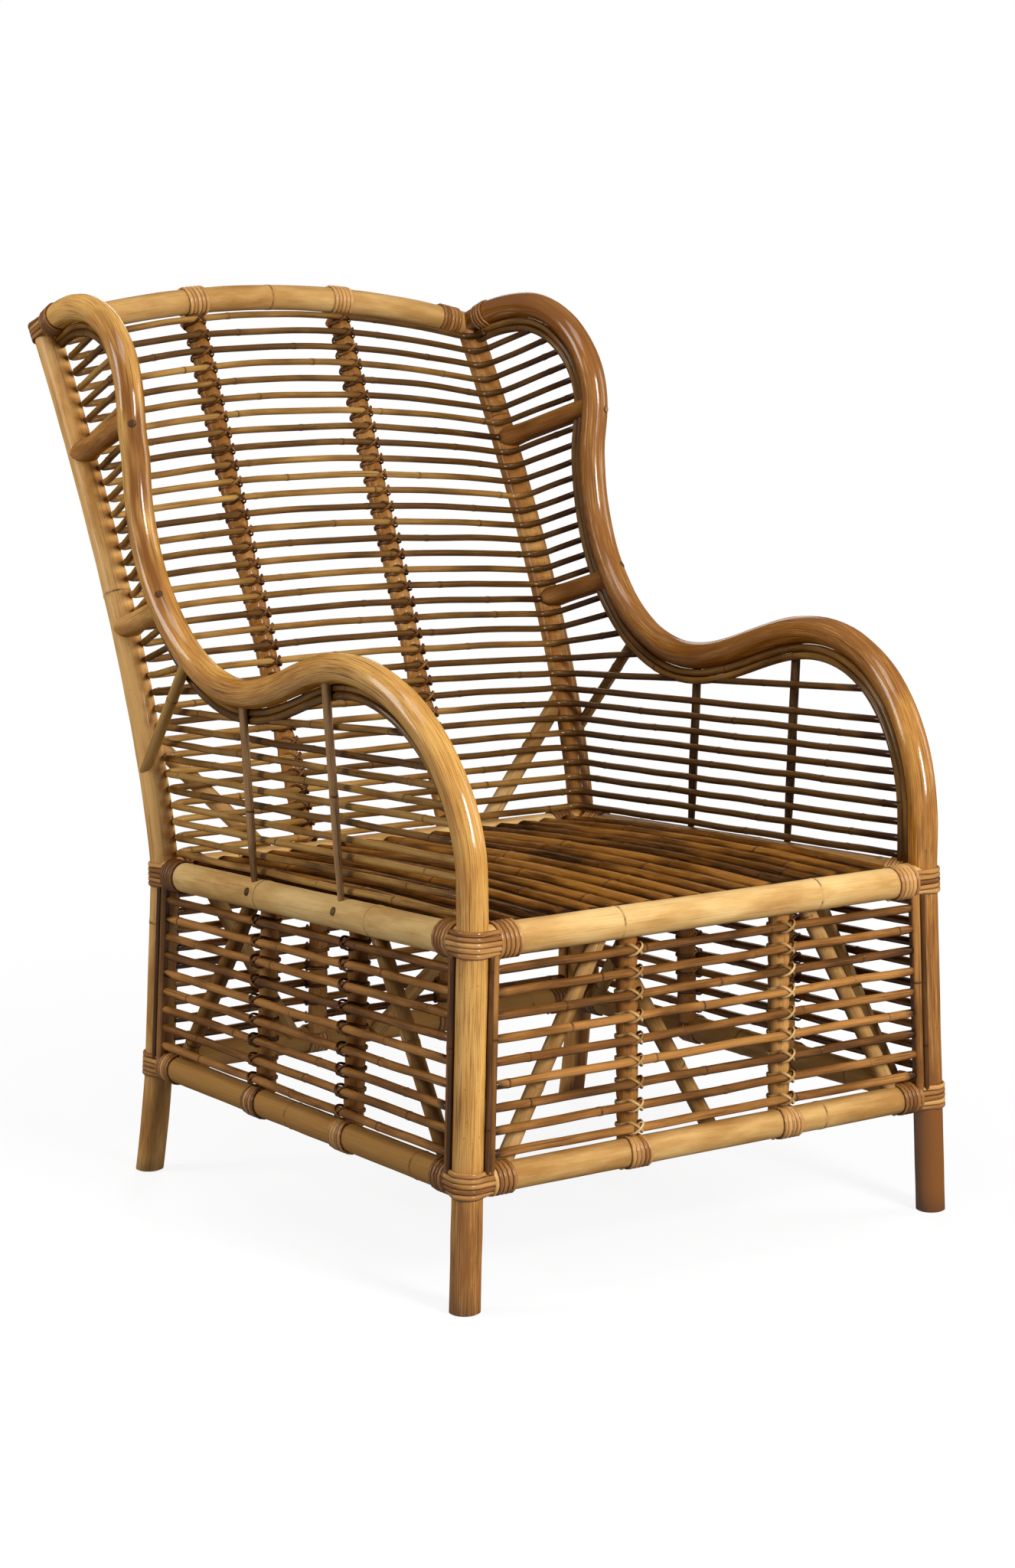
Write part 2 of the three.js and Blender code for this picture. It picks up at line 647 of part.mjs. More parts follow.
// Wing spreaders, spindles and rods outside the arms, and braces behind the back
for (const [name, side] of SIDES) {
  const liners = [outerLiners[name], innerLiners[name]];
  const frame = [armPoles[name], posts[name], ...liners];
  const pastLiners = (size) => vector((LINER_DIAMETER + size) / 2 - LINER_INSET + CLEARANCE, 0, 0);
  spreaders[name].forEach((spreader, i) => {
    add(`${name}_${['lower', 'upper'][i]}_wing_spreader`, cut(spreader(), frame), honeyCane);
  });
  SPINDLE_SETBACKS.forEach((setback, i) => {
    const rail = lerp(SEAT_FRONT_HEIGHT, SEAT_REAR_HEIGHT, setback / SEAT_DEPTH);
    const foot = vector(SEAT_HALF_WIDTH + SPINDLE_FOOT_OFFSET, setback, rail);
    const head = armAt(setback, rail).add(pastLiners(SPINDLE_THICKNESS));
    const [from, to] = mirrored([foot, head], side);
    const spindle = straight(from, to, SPINDLE_WIDTH, SPINDLE_THICKNESS, STILE_SIDES, vector(0, 1, 0));
    add(`${name}_${['front', 'rear'][i]}_spindle`, cut(spindle(), [...frame, rails.seat[name]]), brownCane);
  });
  const rodFoot = rearPost(ARM_ROD_FOOT_HEIGHT).add(vector(ARM_ROD_OFFSET, 0, 0));
  const rodHead = armAt(ARM_ROD_HEAD_SETBACK, ARM_DIP_HEIGHT).add(pastLiners(ARM_ROD_DIAMETER));
  const [rodFrom, rodTo] = mirrored([rodFoot, rodHead], side);
  add(`${name}_arm_rod`, cut(rod(rodFrom, rodTo, ARM_ROD_DIAMETER, STILE_SIDES)(), frame), brownCane);

  const braceHead = rearPost(BACK_BRACE_HEIGHT);
  const behind = (BACK_BRACE_DIAMETER + BACK_SLAT_DIAMETER) / 2 + SLAT_CLEARANCE;
  braceHead.y = backStileAxis(BACK_BRACE_HEIGHT, 1).slat + behind / postUpright(BACK_BRACE_HEIGHT);
  const braceFoot = vector(BACK_BRACE_HALF_SPACING, SEAT_DEPTH, SEAT_REAR_HEIGHT);
  braceFoot.y = backStileAxis(stileBottom, 1).slat + behind;
  const length = braceFoot.distanceTo(braceHead);
  const footStop = (COPE * SEAT_RAIL_DIAMETER) / 2 / length;
  const headStop = (COPE * POLE_DIAMETER) / 2 / length;
  const braceEnds = [between(braceFoot, braceHead, footStop), between(braceHead, braceFoot, headStop)];
  const backBrace = rod(...mirrored(braceEnds, side), BACK_BRACE_DIAMETER, STILE_SIDES);
  add(`${name}_back_brace`, cut(backBrace(), [posts[name], rails.seat.rear]), honeyCane);
}

// Seat: canes from front to rear on bearers between the side rails
const slatReach = SEAT_HALF_WIDTH - (SEAT_RAIL_DIAMETER + SEAT_SLAT_DIAMETER) / 2 - SEAT_SLAT_EDGE_GAP;
function seatLine(share) {
  const height = lerp(SEAT_FRONT_HEIGHT, SEAT_REAR_HEIGHT, share) + SEAT_SLAT_LIFT;
  return { y: share * SEAT_DEPTH, z: height + SEAT_CROWN * 4 * share * (1 - share) };
}
const seatPieces = [];
for (let i = 0; i < SEAT_SLAT_COUNT; i += 1) {
  const x = lerp(-slatReach, slatReach, i / (SEAT_SLAT_COUNT - 1));
  const stop = (SEAT_RAIL_DIAMETER / 2 + CLEARANCE) / SEAT_DEPTH;
  const points = [stop, 0.33, 0.67, 1 - stop].map((share) => {
    const { y, z } = seatLine(share);
    return vector(x, y, z);
  });
  seatPieces.push(bent(points, SEAT_SLAT_DIAMETER, STILE_SIDES)());
}
for (let i = 1; i <= SEAT_BEARER_COUNT; i += 1) {
  const { y, z } = seatLine((i - 0.5) / SEAT_BEARER_COUNT);
  const below = z - (SEAT_SLAT_DIAMETER + SEAT_BEARER_HEIGHT) / 2 + SEAT_BEARER_BITE;
  const reach = SEAT_HALF_WIDTH - (COPE * SEAT_RAIL_DIAMETER) / 2;
  const bearer = new THREE.BoxGeometry(2 * reach, SEAT_BEARER_WIDTH, SEAT_BEARER_HEIGHT).translate(0, y, below);
  seatPieces.push(cut(solidOf(bearer), [rails.seat.left, rails.seat.right]));
}
add('seat_slats', seatPieces.reduce((all, piece) => all.add(piece)), amberCane);

// Base panels: slats between end strips, two stiles and two braces on each face
function basePanel(face, first, second, outward, stileSpacing, bracesSplay) {
  const lowRail = railHeights.lower;
  const highRail = railHeights.seat;
  const ends = [first, second].map(({ leg, end }) => ({
    low: leg(lowRail[end]),
    high: leg(highRail[end]),
    bottom: lowRail[end] + lowRail.diameter / 2,
    top: highRail[end] - highRail.diameter / 2,
  }));
  const along = direction(ends[0].low, ends[1].low);
  const neighbours = [armPoles.left, armPoles.right, posts.left, posts.right];
  neighbours.push(...Object.values(rails.lower), ...Object.values(rails.seat));

  const stripStandoff = (POLE_DIAMETER + END_STRIP_DIAMETER) / 2 + CLEARANCE;
  const stripReach = Math.sqrt(stripStandoff ** 2 - PANEL_OUTSET ** 2);
  const onStrip = (i, height) => {
    const inward = along.clone().multiplyScalar(i === 0 ? stripReach : -stripReach);
    const { low, high } = ends[i];
    const onLeg = between(low, high, (height - low.z) / (high.z - low.z));
    return onLeg.add(inward).addScaledVector(outward, PANEL_OUTSET);
  };
  const pieces = [0, 1].map((i) => {
    const { low, high } = ends[i];
    return cut(rod(onStrip(i, low.z), onStrip(i, high.z), END_STRIP_DIAMETER, STRIP_SIDES)(), neighbours);
  });
  for (let row = 0; row < BASE_SLAT_COUNT; row += 1) {
    const share = (row + 0.5) / BASE_SLAT_COUNT;
    const [from, to] = [0, 1].map((i) => onStrip(i, lerp(ends[i].bottom, ends[i].top, share)));
    pieces.push(rod(from, to, BASE_SLAT_DIAMETER, SLAT_SIDES)());
  }
  add(`${face}_base_slats`, pieces.reduce((all, piece) => all.add(piece)), brownCane);

  const stileInset = (BASE_SLAT_DIAMETER + BASE_STILE_DIAMETER) / 2 + CLEARANCE - PANEL_OUTSET;
  const braceInset = (BASE_SLAT_DIAMETER + BASE_BRACE_DIAMETER) / 2 + BRACE_CLEARANCE - PANEL_OUTSET;
  const coped = (from, to) => {
    const rise = direction(from, to);
    const lowStop = (COPE * lowRail.diameter) / 2;
    const highStop = (COPE * highRail.diameter) / 2;
    return [
      from.clone().addScaledVector(rise, lowStop / rise.z),
      to.clone().addScaledVector(rise, -highStop / rise.z),
    ];
  };
  // The point of the lower or upper rail at a distance from its middle, set back inside the panel
  const onRail = (level, distance, inset) => {
    const [from, to] = ends.map((end) => end[level]);
    const share = 0.5 + distance / from.distanceTo(to);
    return between(from, to, share).addScaledVector(outward, -inset);
  };
  const stiles = [-1, 1].map((sign) => {
    const low = onRail('low', (sign * stileSpacing) / 2, stileInset);
    const high = onRail('high', (sign * stileSpacing) / 2, stileInset);
    return { sign, low, high, solid: rod(...coped(low, high), BASE_STILE_DIAMETER, STILE_SIDES) };
  });
  const names = face === 'left' || face === 'right' ? ['front', 'rear'] : ['left', 'right'];
  const [legLevel, stileLevel] = bracesSplay ? ['low', 'high'] : ['high', 'low'];
  const legReach = ends[0][legLevel].distanceTo(ends[1][legLevel]) / 2 - BRACE_FOOT;
  const stileReach = stileSpacing / 2 + BRACE_HEAD;
  stiles.forEach(({ sign, solid }, i) => {
    add(`${face}_base_${names[i]}_stile`, cut(solid(), [...neighbours, ...lowerSleeves]), honeyCane);
    const atLeg = onRail(legLevel, sign * legReach, braceInset);
    const atStile = onRail(stileLevel, sign * stileReach, braceInset);
    const [from, to] = bracesSplay ? [atLeg, atStile] : [atStile, atLeg];
    const brace = rod(...coped(from, to), BASE_BRACE_DIAMETER, BRACE_SIDES);
    const around = [...neighbours, ...stiles.map((stile) => stile.solid)];
    add(`${face}_base_${names[i]}_brace`, cut(brace(), around), honeyCane);
  });
  return { stiles, stileInset, neighbours };
}

const { left: leftLegs, right: rightLegs } = corners;
const atFront = ({ front }) => ({ leg: front, end: 'front' });
const atRear = ({ rear }) => ({ leg: rear, end: 'rear' });
const frontPanel = basePanel(
  'front', atFront(leftLegs), atFront(rightLegs), vector(0, -1, 0), FRONT_STILE_SPACING, true,
);
basePanel('left', atFront(leftLegs), atRear(leftLegs), vector(-1, 0, 0), SIDE_STILE_SPACING, true);
basePanel('right', atFront(rightLegs), atRear(rightLegs), vector(1, 0, 0), SIDE_STILE_SPACING, true);
const rearPanel = basePanel(
  'rear', atRear(leftLegs), atRear(rightLegs), vector(0, 1, 0), REAR_STILE_SPACING, false,
);

// One brace each behind the front and rear panels, resting on a stile and a lower rail
function innerBrace(name, panel, stile, inward, footX, headX) {
  const standoff = panel.stileInset + (BASE_STILE_DIAMETER + BASE_BRACE_DIAMETER) / 2 + CLEARANCE;
  const lowRail = between(panel.stiles[0].low, panel.stiles[1].low, 0.5);
  lowRail.addScaledVector(inward, -panel.stileInset);
  const foot = vector(footX, lowRail.y + inward.y * INNER_BRACE_INSET, LOWER_RAIL_HEIGHT);
  const { low, high } = panel.stiles[stile];
  const share = (low.x - footX) / (headX - footX);
  const height = lerp(foot.z, high.z - SEAT_RAIL_DIAMETER, share);
  const crossing = between(low, high, (height - low.z) / (high.z - low.z));
  crossing.addScaledVector(inward, standoff - panel.stileInset);
  const head = between(foot, crossing, 1 / share);
  const brace = rod(foot, head, BASE_BRACE_DIAMETER, BRACE_SIDES);
  add(name, cut(brace(), [...panel.neighbours, panel.stiles[stile].solid]), honeyCane);
}
innerBrace('front_inner_brace', frontPanel, 0, vector(0, 1, 0), INNER_BRACE_FOOT, -FRONT_STILE_SPACING / 2);
innerBrace('rear_inner_brace', rearPanel, 1, vector(0, -1, 0), -INNER_BRACE_FOOT, REAR_INNER_BRACE_HEAD_OFFSET);

// The origin is on the floor, in the middle of the chair's box
const box = new THREE.Box3().setFromObject(chair);
chair.position.y = -(box.min.y + box.max.y) / 2;
chair.updateMatrixWorld(true);

export default chair;
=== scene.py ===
import math
import random

import bmesh
import bpy
from mathutils import Matrix, Vector, noise


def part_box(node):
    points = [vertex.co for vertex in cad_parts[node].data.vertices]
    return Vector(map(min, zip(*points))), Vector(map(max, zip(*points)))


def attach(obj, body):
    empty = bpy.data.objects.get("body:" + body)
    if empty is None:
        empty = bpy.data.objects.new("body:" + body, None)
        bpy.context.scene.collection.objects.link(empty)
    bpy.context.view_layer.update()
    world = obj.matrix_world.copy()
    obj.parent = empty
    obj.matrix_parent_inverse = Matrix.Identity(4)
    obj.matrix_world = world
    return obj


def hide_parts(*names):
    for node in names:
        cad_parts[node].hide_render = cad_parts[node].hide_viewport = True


# A rattan wing armchair in bent poles and thin canes. Routes are in millimetres with the front
# legs at y = 0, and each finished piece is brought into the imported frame, in metres.
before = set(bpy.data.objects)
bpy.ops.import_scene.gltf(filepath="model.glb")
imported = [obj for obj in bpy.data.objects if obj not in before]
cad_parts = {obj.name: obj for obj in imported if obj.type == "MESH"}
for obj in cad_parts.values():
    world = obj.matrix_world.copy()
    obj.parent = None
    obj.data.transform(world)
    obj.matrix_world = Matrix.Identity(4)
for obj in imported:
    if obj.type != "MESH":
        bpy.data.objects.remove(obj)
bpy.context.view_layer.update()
draw = random.Random(23)

rail_low, rail_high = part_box("front_seat_rail")
TO_FRAME = Matrix.Translation((0, (rail_low.y + rail_high.y) / 2, 0)) @ Matrix.Scale(0.001, 4)
SIDES = (("left", -1), ("right", 1))
RIGHT, REAR, UP = Vector((1, 0, 0)), Vector((0, 1, 0)), Vector((0, 0, 1))

# Radii of the canes
POLE, CREST, SEAT_RAIL, LOWER_RAIL = 16.0, 15.5, 17.0, 15.0
BACK_STILE, BASE_STILE, BASE_BRACE, BACK_BRACE = 12.0, 11.0, 9.0, 10.0
SPREADER, ARM_ROD, LINER = 12.5, 6.5, 4.5
BACK_SLAT, BASE_SLAT, END_STRIP, SEAT_SLAT = 4.25, 4.75, 4.75, 11.0
SLAT_SHOWN, STRIP_SHOWN, EDGE_STRIP = 3.95, 5.3, 3.0
SPINDLE_WIDE, SPINDLE_THIN = 6.5, 4.0
BEARER_WIDE, BEARER_HIGH = 24.0, 15.0
FIT, SLAT_FIT, BRACE_FIT = 0.3, 0.5, 1.5
# How far from a rail's centre line a coped cane ends, as a share of the rail's radius
COPE = 0.6

# Frame, to the centre lines of the poles
SEAT_HALF, FRONT_SPLAY, REAR_SPLAY, TOP_SPLAY = 294.0, 15.0, 9.0, 7.0
SEAT_DEPTH, SEAT_FRONT, SEAT_REAR, LOWER = 630.0, 371.0, 354.0, 131.0
LEG_SETBACK, FOOT_SETBACK, FOOT_BOW = 15.0, 15.0, 1.5
POST_TOP, POST_SETBACK, POST_BOW, CREST_RISE = 971.0, 249.0, 1.48, 37.0
ARM_BEND, WING_RISE, LINER_INSET = 430.0, 25.0, 5.0
# Bends of the arm and wing: setback, height, splay
ARM_CROWN, ARM_DIP = (197.0, 626.0, 17.0), (424.0, 580.0, 13.0)
WING_LOW, WING_HIGH = (632.0, 815.0, 22.0), (632.0, 873.0, 27.0)
WING_TOP_SETBACK, WING_TOP_SPLAY = 768.0, 18.0

# Slats, stiles and braces
SLAT_ROWS, SLAT_DROP, SLAT_LIFT, ARCH_FADE = 33, 19.0, 2.8, 1.5
SLAT_BEND, BEND_SHARE, WING_SLOPE, WING_FROM, WING_FULL = 25.0, 0.8, 0.28, 520.0, 620.0
STILE_FOOT_GAP, STILE_TOP_GAP, STILE_SWAY = 200.0, 206.0, 16.0
SIDE_STILE_GAP, REAR_STILE_GAP = 183.0, 184.0
SPREADER_ROWS = (14, 25)
SPINDLE_SETBACKS, SPINDLE_FOOT = (236.0, 415.0), 5.0
ROD_FOOT, ROD_HEAD, ROD_OFFSET = 470.0, 525.0, 10.0
BACK_BRACE_HEAD, BACK_BRACE_HALF = 515.0, 147.0
SEAT_CANES, SEAT_EDGE, SEAT_LIFT, SEAT_CROWN = 17, 7.0, 3.0, 9.0
BASE_ROWS, PANEL_OUTSET, BRACE_FOOT, BRACE_HEAD = 9, 7.0, 42.0, 28.0
INNER_FOOT, INNER_INSET, REAR_INNER_HEAD = 18.0, 20.0, 195.0

# Binding cane: flat strands
STRAND_WIDE, STRAND_THIN, STRAND_PITCH = 2.75, 1.3, 5.5
TIE_WIDE, TIE_THIN, TIE_SPREAD, TIE_CROSS = 1.75, 0.95, 7.6, 4.4

# Usual distance from one growth ring to the next
RAIL_RINGS, SLAT_RINGS, BASE_RINGS, SEAT_RINGS = 240, 170, 190, 230
BRACE_RINGS, BACK_BRACE_RINGS, LINER_RINGS, SPINDLE_RINGS, ROD_RINGS = 180, 210, 260, 140, 150

# Sides of a section: poles and rails, posts and spreaders, stiles, braces, strands
POLE_SIDES, POST_SIDES, STILE_SIDES, BRACE_SIDES, STRAND_SIDES = 20, 24, 14, 12, 6


def lerp(a, b, t):
    return a + (b - a) * t


def smooth(t):
    t = min(max(t, 0.0), 1.0)
    return t * t * (3 - 2 * t)


def flip(point, side):
    return Vector((point.x * side, point.y, point.z))


def mirrored(route, side):
    return [flip(point, side) for point in route]


def line(a, b, step=25.0):
    count = max(2, math.ceil((b - a).length / step))
    return [a.lerp(b, i / count) for i in range(count + 1)]


# Finishes


def srgb(tone):
    """A colour written as red, green and blue in hex, as the shader wants it."""
    shares = [c / 255 for c in bytes.fromhex(tone)]
    return (*[s / 12.92 if s < 0.04045 else ((s + 0.055) / 1.055) ** 2.4 for s in shares], 1.0)


class Nodes:
    """The node tree of a material or a world in the making."""

    def __init__(self, owner, shader):
        owner.use_nodes = True
        self.links = owner.node_tree.links
        self.nodes = owner.node_tree.nodes
        self.shader = self.nodes[shader]

    def fill(self, node, inputs):
        for key, value in inputs.items():
            if isinstance(value, bpy.types.NodeSocket):
                self.links.new(value, node.inputs[key])
            else:
                node.inputs[key].default_value = value

    def node(self, kind, inputs=None, **settings):
        made = self.nodes.new(kind)
        for key, value in settings.items():
            setattr(made, key, value)
        self.fill(made, inputs or {})
        return made

    def attribute(self, name, output="Fac"):
        return self.node("ShaderNodeAttribute", attribute_name=name).outputs[output]

    def mottle(self, vector, across, along, detail=2.0, rough=0.5):
        scale = {"Vector": vector, "Scale": (across, across, along)}
        vector = self.node("ShaderNodeMapping", scale).outputs["Vector"]
        inputs = {"Vector": vector, "Scale": 1.0, "Detail": detail, "Roughness": rough}
        return self.node("ShaderNodeTexNoise", inputs).outputs["Fac"]

    def span(self, value, low, high, to_low=0.0, to_high=1.0):
        inputs = {0: value, 1: low, 2: high, 3: to_low, 4: to_high}
        return self.node("ShaderNodeMapRange", inputs).outputs[0]

    def calc(self, a, b, operation="ADD"):
        return self.node("ShaderNodeMath", {0: a, 1: b}, operation=operation).outputs[0]

    def mix(self, share, a, b):
        inputs = {0: share, 6: a, 7: b}
        return self.node("ShaderNodeMix", inputs, data_type="RGBA").outputs[2]

    def ramp(self, value, *stops):
        node = self.node("ShaderNodeValToRGB", {"Fac": value})
        elements = node.color_ramp.elements
        while len(elements) < len(stops):
            elements.new(0.5)
        for element, (place, color) in zip(elements, stops):
            element.position = place
            element.color = color
        return node.outputs["Color"]


LACQUER_ROUGHNESS, LACQUER_IOR = 0.14, 3.8
FIBRE_RELIEF, FIBRE_DEPTH = 0.25, 0.0005


def cane_finish(name, tones, rough, coat, streak, fibre):
    """Lacquered cane: slow changes of tone, fine lengthwise fibres, dark streaks and growth rings."""
    pale, body, deep, ring, stain = [srgb(tone) for tone in tones.split()]
    material = bpy.data.materials.new(name)
    f = Nodes(material, "Principled BSDF")
    grain = f.attribute("grain", "Vector")
    tone = f.attribute("tone")
    patches = f.mottle(grain, 0.07, 0.016, 3.0, 0.55)
    lengths = f.mottle(grain, 0.01, 0.006, 1.0)
    bands = f.mottle(grain, 0.05, 0.0065, 2.0, 0.55)
    fibres = f.mottle(grain, 1.15, 0.02, 3.0, 0.6)
    streaks = f.mottle(grain, 0.6, 0.009)
    specks = f.mottle(grain, 0.5, 0.25)
    level = f.calc(f.calc(patches, lengths), f.calc(tone, 0.5, "MULTIPLY"))
    level = f.span(level, 0.85, 1.65)
    color = f.ramp(level, (0.1, deep), (0.5, body), (0.9, pale))
    for marks, low, high, share, shade in (
            (fibres, 0.45, 0.75, fibre, deep), (fibres, 0.5, 0.3, fibre * 0.6, pale),
            (streaks, 0.6, 0.72, streak, ring), (specks, 0.7, 0.78, streak, ring)):
        color = f.mix(f.span(marks, low, high, 0.0, share), color, shade)
    # The stain attribute carries real stain, and also painted shade and dirt where a cane has spots.
    ragged = f.calc(bands, f.span(fibres, 0.3, 0.7, -0.05, 0.05))
    soak = f.span(f.calc(f.attribute("stain"), ragged, "SUBTRACT"), -0.04, 0.1)
    color = f.mix(soak, color, stain)
    edge = f.calc(f.attribute("ring"), f.span(patches, 0.4, 0.6, 0.1, 0.9), "MULTIPLY")
    color = f.mix(edge, color, ring)
    relief = f.calc(fibres, f.calc(specks, 0.5, "MULTIPLY"))
    bump = {"Height": relief, "Strength": FIBRE_RELIEF, "Distance": FIBRE_DEPTH}
    f.fill(f.shader, {
        "Base Color": color, "Specular IOR Level": 0.0, "Coat Weight": coat,
        "Coat Roughness": LACQUER_ROUGHNESS, "Coat IOR": LACQUER_IOR,
        "Roughness": f.span(patches, 0.3, 0.7, rough - 0.06, rough + 0.1),
        "Normal": f.node("ShaderNodeBump", bump).outputs["Normal"]})
    return material


# Each finish has its slot, then its pale, body and deep tones, the colour of its rings and streaks
# and that of its stain, then its roughness, lacquer, streaks and fibres
FINISHES = {
    "honey_cane": ("honey_cane", "deae6c be8a4b 925e2a 563416 74461c", 0.4, 0.024, 0.5, 0.35),
    "pole_cane": ("honey_cane", "d8a556 b88036 885216 4e2e0e 7a4606", 0.36, 0.085, 0.9, 1.0),
    "straw_cane": ("straw_cane", "e0bc7e c89d60 a6783f 6a401c 925c28", 0.4, 0.022, 0.25, 0.25),
    "brace_cane": ("honey_cane", "d0aa72 b48a54 825b2f 52371b 6c4824", 0.48, 0.013, 0.5, 0.4),
    "amber_cane": ("amber_cane", "b48948 89602b 543513 361f0a 3e220a", 0.42, 0.045, 0.6, 0.4),
    "seat_cane": ("amber_cane", "a06a2a 6a3f11 2a1605 281507 2c1708", 0.48, 0.022, 0.6, 0.5),
    "brown_cane": ("brown_cane", "b27b3e 7d4f20 482a0e 301b09 341d09", 0.44, 0.045, 0.65, 0.45),
    "split_cane": ("brown_cane", "ac865c 7e5d3c 4c341e 321f0e 3e2712", 0.52, 0.013, 0.8, 0.7),
    "binding_cane": ("brown_cane", "ce9c5e a06c38 683f1b 381f0c 48290f", 0.36, 0.05, 0.4, 0.4),
    "tie_cane": ("brown_cane", "8e5f30 643d1b 3c220d 261508 2c1909", 0.42, 0.026, 0.4, 0.4),
    "knot_cane": ("straw_cane", "d6b67e b6905c 866036 684624 865c30", 0.46, 0.022, 0.3, 0.3),
}
materials = {name: cane_finish(name, *values) for name, (_, *values) in FINISHES.items()}


# Making canes


class Work:
    """A piece in the making, to which finished canes are added one by one."""

    def __init__(self):
        self.bm = bmesh.new()
        self.loose = bpy.data.meshes.new("loose_cane")

    def take(self, bm):
        bmesh.ops.recalc_face_normals(bm, faces=bm.faces)
        bm.to_mesh(self.loose)
        bm.free()
        self.bm.from_mesh(self.loose)


# A growth ring: distance along the cane, share of dark ring, share of swelling
RING_STEPS = ((-4.5, 0.0, 0.0), (-1.8, 0.0, 0.7), (-0.6, 1.0, 1.0), (0.5, 0.9, 0.8),
              (1.6, 0.2, 0.5), (5.0, 0.0, 0.0))
RING_ROOM, RING_END, LEAST_STEP = 5.2, 8, 0.15


def stations(route, outward, radius, rings):
    """Places along a cane: (distance, point, direction, outward, share of ring, swelling)."""
    reach = [0.0]
    for a, b in zip(route, route[1:]):
        reach.append(reach[-1] + (b - a).length)
    total = reach[-1]
    blunt = min(1.2, radius * 0.3)
    marks = [(r, 0.0, 0.0) for r in reach + [blunt, total - blunt]]
    for at in ring_places(rings, total):
        marks = [m for m in marks if abs(m[0] - at) > RING_ROOM or m[0] in (0.0, total)]
        marks += [(at + d, shade, swell) for d, shade, swell in RING_STEPS]
    kept = []
    for mark in sorted(marks):
        if not kept or mark[0] - kept[-1][0] > LEAST_STEP:
            kept.append(mark)
    last = len(route) - 1
    turns = [(route[min(i + 1, last)] - route[max(i - 1, 0)]).normalized() for i in range(last + 1)]
    places, i = [], 0
    for at, shade, swell in kept:
        while i < last - 1 and reach[i + 1] < at:
            i += 1
        share = (at - reach[i]) / max(reach[i + 1] - reach[i], 1e-6)
        facing = outward[i].lerp(outward[i + 1], share) if outward else None
        along = turns[i].lerp(turns[i + 1], share).normalized()
        places.append((at, route[i].lerp(route[i + 1], share), along, facing, shade, swell))
    return places, total


def ring_places(rings, total):
    """Growth rings at the given distances, or spread unevenly at about the given spacing."""
    if isinstance(rings, (list, tuple)):
        return [at for at in rings if RING_END < at < total - RING_END]
    found = []
    at = draw.uniform(0.1, 1.0) * rings
    while rings and at < total - RING_END:
        if at > RING_END:
            found.append(at)
        at += rings * draw.uniform(0.8, 1.25)
    return found


# The last of these is how much the spots add to the stain as well as darkening the tone: dirt, and
# painted shade.
FOOT_BLEND, WOBBLE_LENGTH, WAVER_STEP, SPOT_DIRT_AND_SHADE = 40.0, 45, 0.21, 0.32


def there(setting, at, total):
    """A setting at a place: one number for the whole cane, or a function of the distance."""
    return setting(at, total) if callable(setting) else setting


def cane(work, route, radius, sides=10, rings=0, outward=None, thin=1.0, stain=0.0, taper=None,
         swelling=0.05, foot=None, wobble=0.02, blunt=0.86, tint=0.0, spots=None, square=None):
    """Draws a section along a route by extruding its ring from place to place.
    thin is the section's thickness as a share of its width, taper changes the width,
    stain and tint darken or brighten the cane, spots darkens one side of it with dirt or with
    painted shade, foot is the way that the cane's first end faces, and square makes its section
    squarer than an oval."""
    bm = bmesh.new()
    layers = bm.verts.layers
    grain_layer = layers.float_vector.new("grain")
    tone_layer, ring_layer, stain_layer = [layers.float.new(n) for n in ("tone", "ring", "stain")]
    places, total = stations(route, outward, radius, rings)
    offset = Vector([draw.uniform(0, 900) for _ in range(3)])
    tone = draw.random()
    side = (foot or places[0][2]).orthogonal().normalized()
    before = None
    for number, (at, point, along, facing, shade, swell) in enumerate(places):
        if foot:
            along = foot.lerp(along, smooth(at / FOOT_BLEND)).normalized()
        side = facing or side
        side = (side - along * side.dot(along)).normalized()
        share = at / total
        size = radius * (taper(share) if taper else 1.0)
        size *= 1 + swelling * swell + wobble * noise.noise(Vector((at / WOBBLE_LENGTH, offset.x, 0)))
        if number in (0, len(places) - 1):
            size *= blunt
        depth = radius * thin(share) if callable(thin) else size * thin
        across = along.cross(side)
        here = Matrix((side * depth, across * size, along)).transposed().to_4x4()
        here.translation = point
        if before is None:
            ring = bmesh.ops.create_circle(bm, cap_ends=True, segments=sides, radius=1.0,
                                           matrix=here)["verts"]
            edges = [bm.edges.get((a, b)) for a, b in zip(ring, ring[1:] + ring[:1])]
        else:
            made = bmesh.ops.extrude_edge_only(bm, edges=edges)["geom"]
            ring = [g for g in made if isinstance(g, bmesh.types.BMVert)]
            edges = [g for g in made if isinstance(g, bmesh.types.BMEdge)]
            for face in made[len(ring) + len(edges):]:
                face.smooth = True
            bmesh.ops.transform(bm, matrix=here @ before.inverted(), verts=ring)
        before = here
        soak = there(stain, at, total)
        shift = there(tint, at, total)
        for k, vert in enumerate(ring):
            cos, sin = math.cos(math.tau * k / sides), math.sin(math.tau * k / sides)
            if square:
                flat = math.copysign(abs(cos) ** square(share), cos)
                vert.co = point + side * (depth * flat) + across * (size * sin)
            vert[grain_layer] = Vector((cos * size, sin * size, at)) + offset
            # spots paint one side of the cane darker, in tone and in stain: painted shade on the seat
            # canes, painted shadow and dirt on the posts.
            mark = spots(point, (vert.co - point).normalized()) if spots else 0.0
            vert[tone_layer] = tone + shift - mark
            vert[ring_layer] = shade
            vert[stain_layer] = soak + SPOT_DIRT_AND_SHADE * mark
    bmesh.ops.contextual_create(bm, geom=edges)
    work.take(bm)


def put(name, data):
    """A new object in the scene."""
    made = bpy.data.objects.new(name, data)
    bpy.context.collection.objects.link(made)
    return made


def finish_piece(name, work, finish, *nodes, slot=None):
    """Brings a piece into the frame, in place of the solids that it is drawn over."""
    bmesh.ops.transform(work.bm, matrix=TO_FRAME, verts=work.bm.verts)
    mesh = bpy.data.meshes.new(name)
    work.bm.to_mesh(mesh)
    work.bm.free()
    bpy.data.meshes.remove(work.loose)
    mesh.materials.append(materials[finish])
    piece = put(name, mesh)
    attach(piece, "root")
    if nodes:
        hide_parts(*nodes)


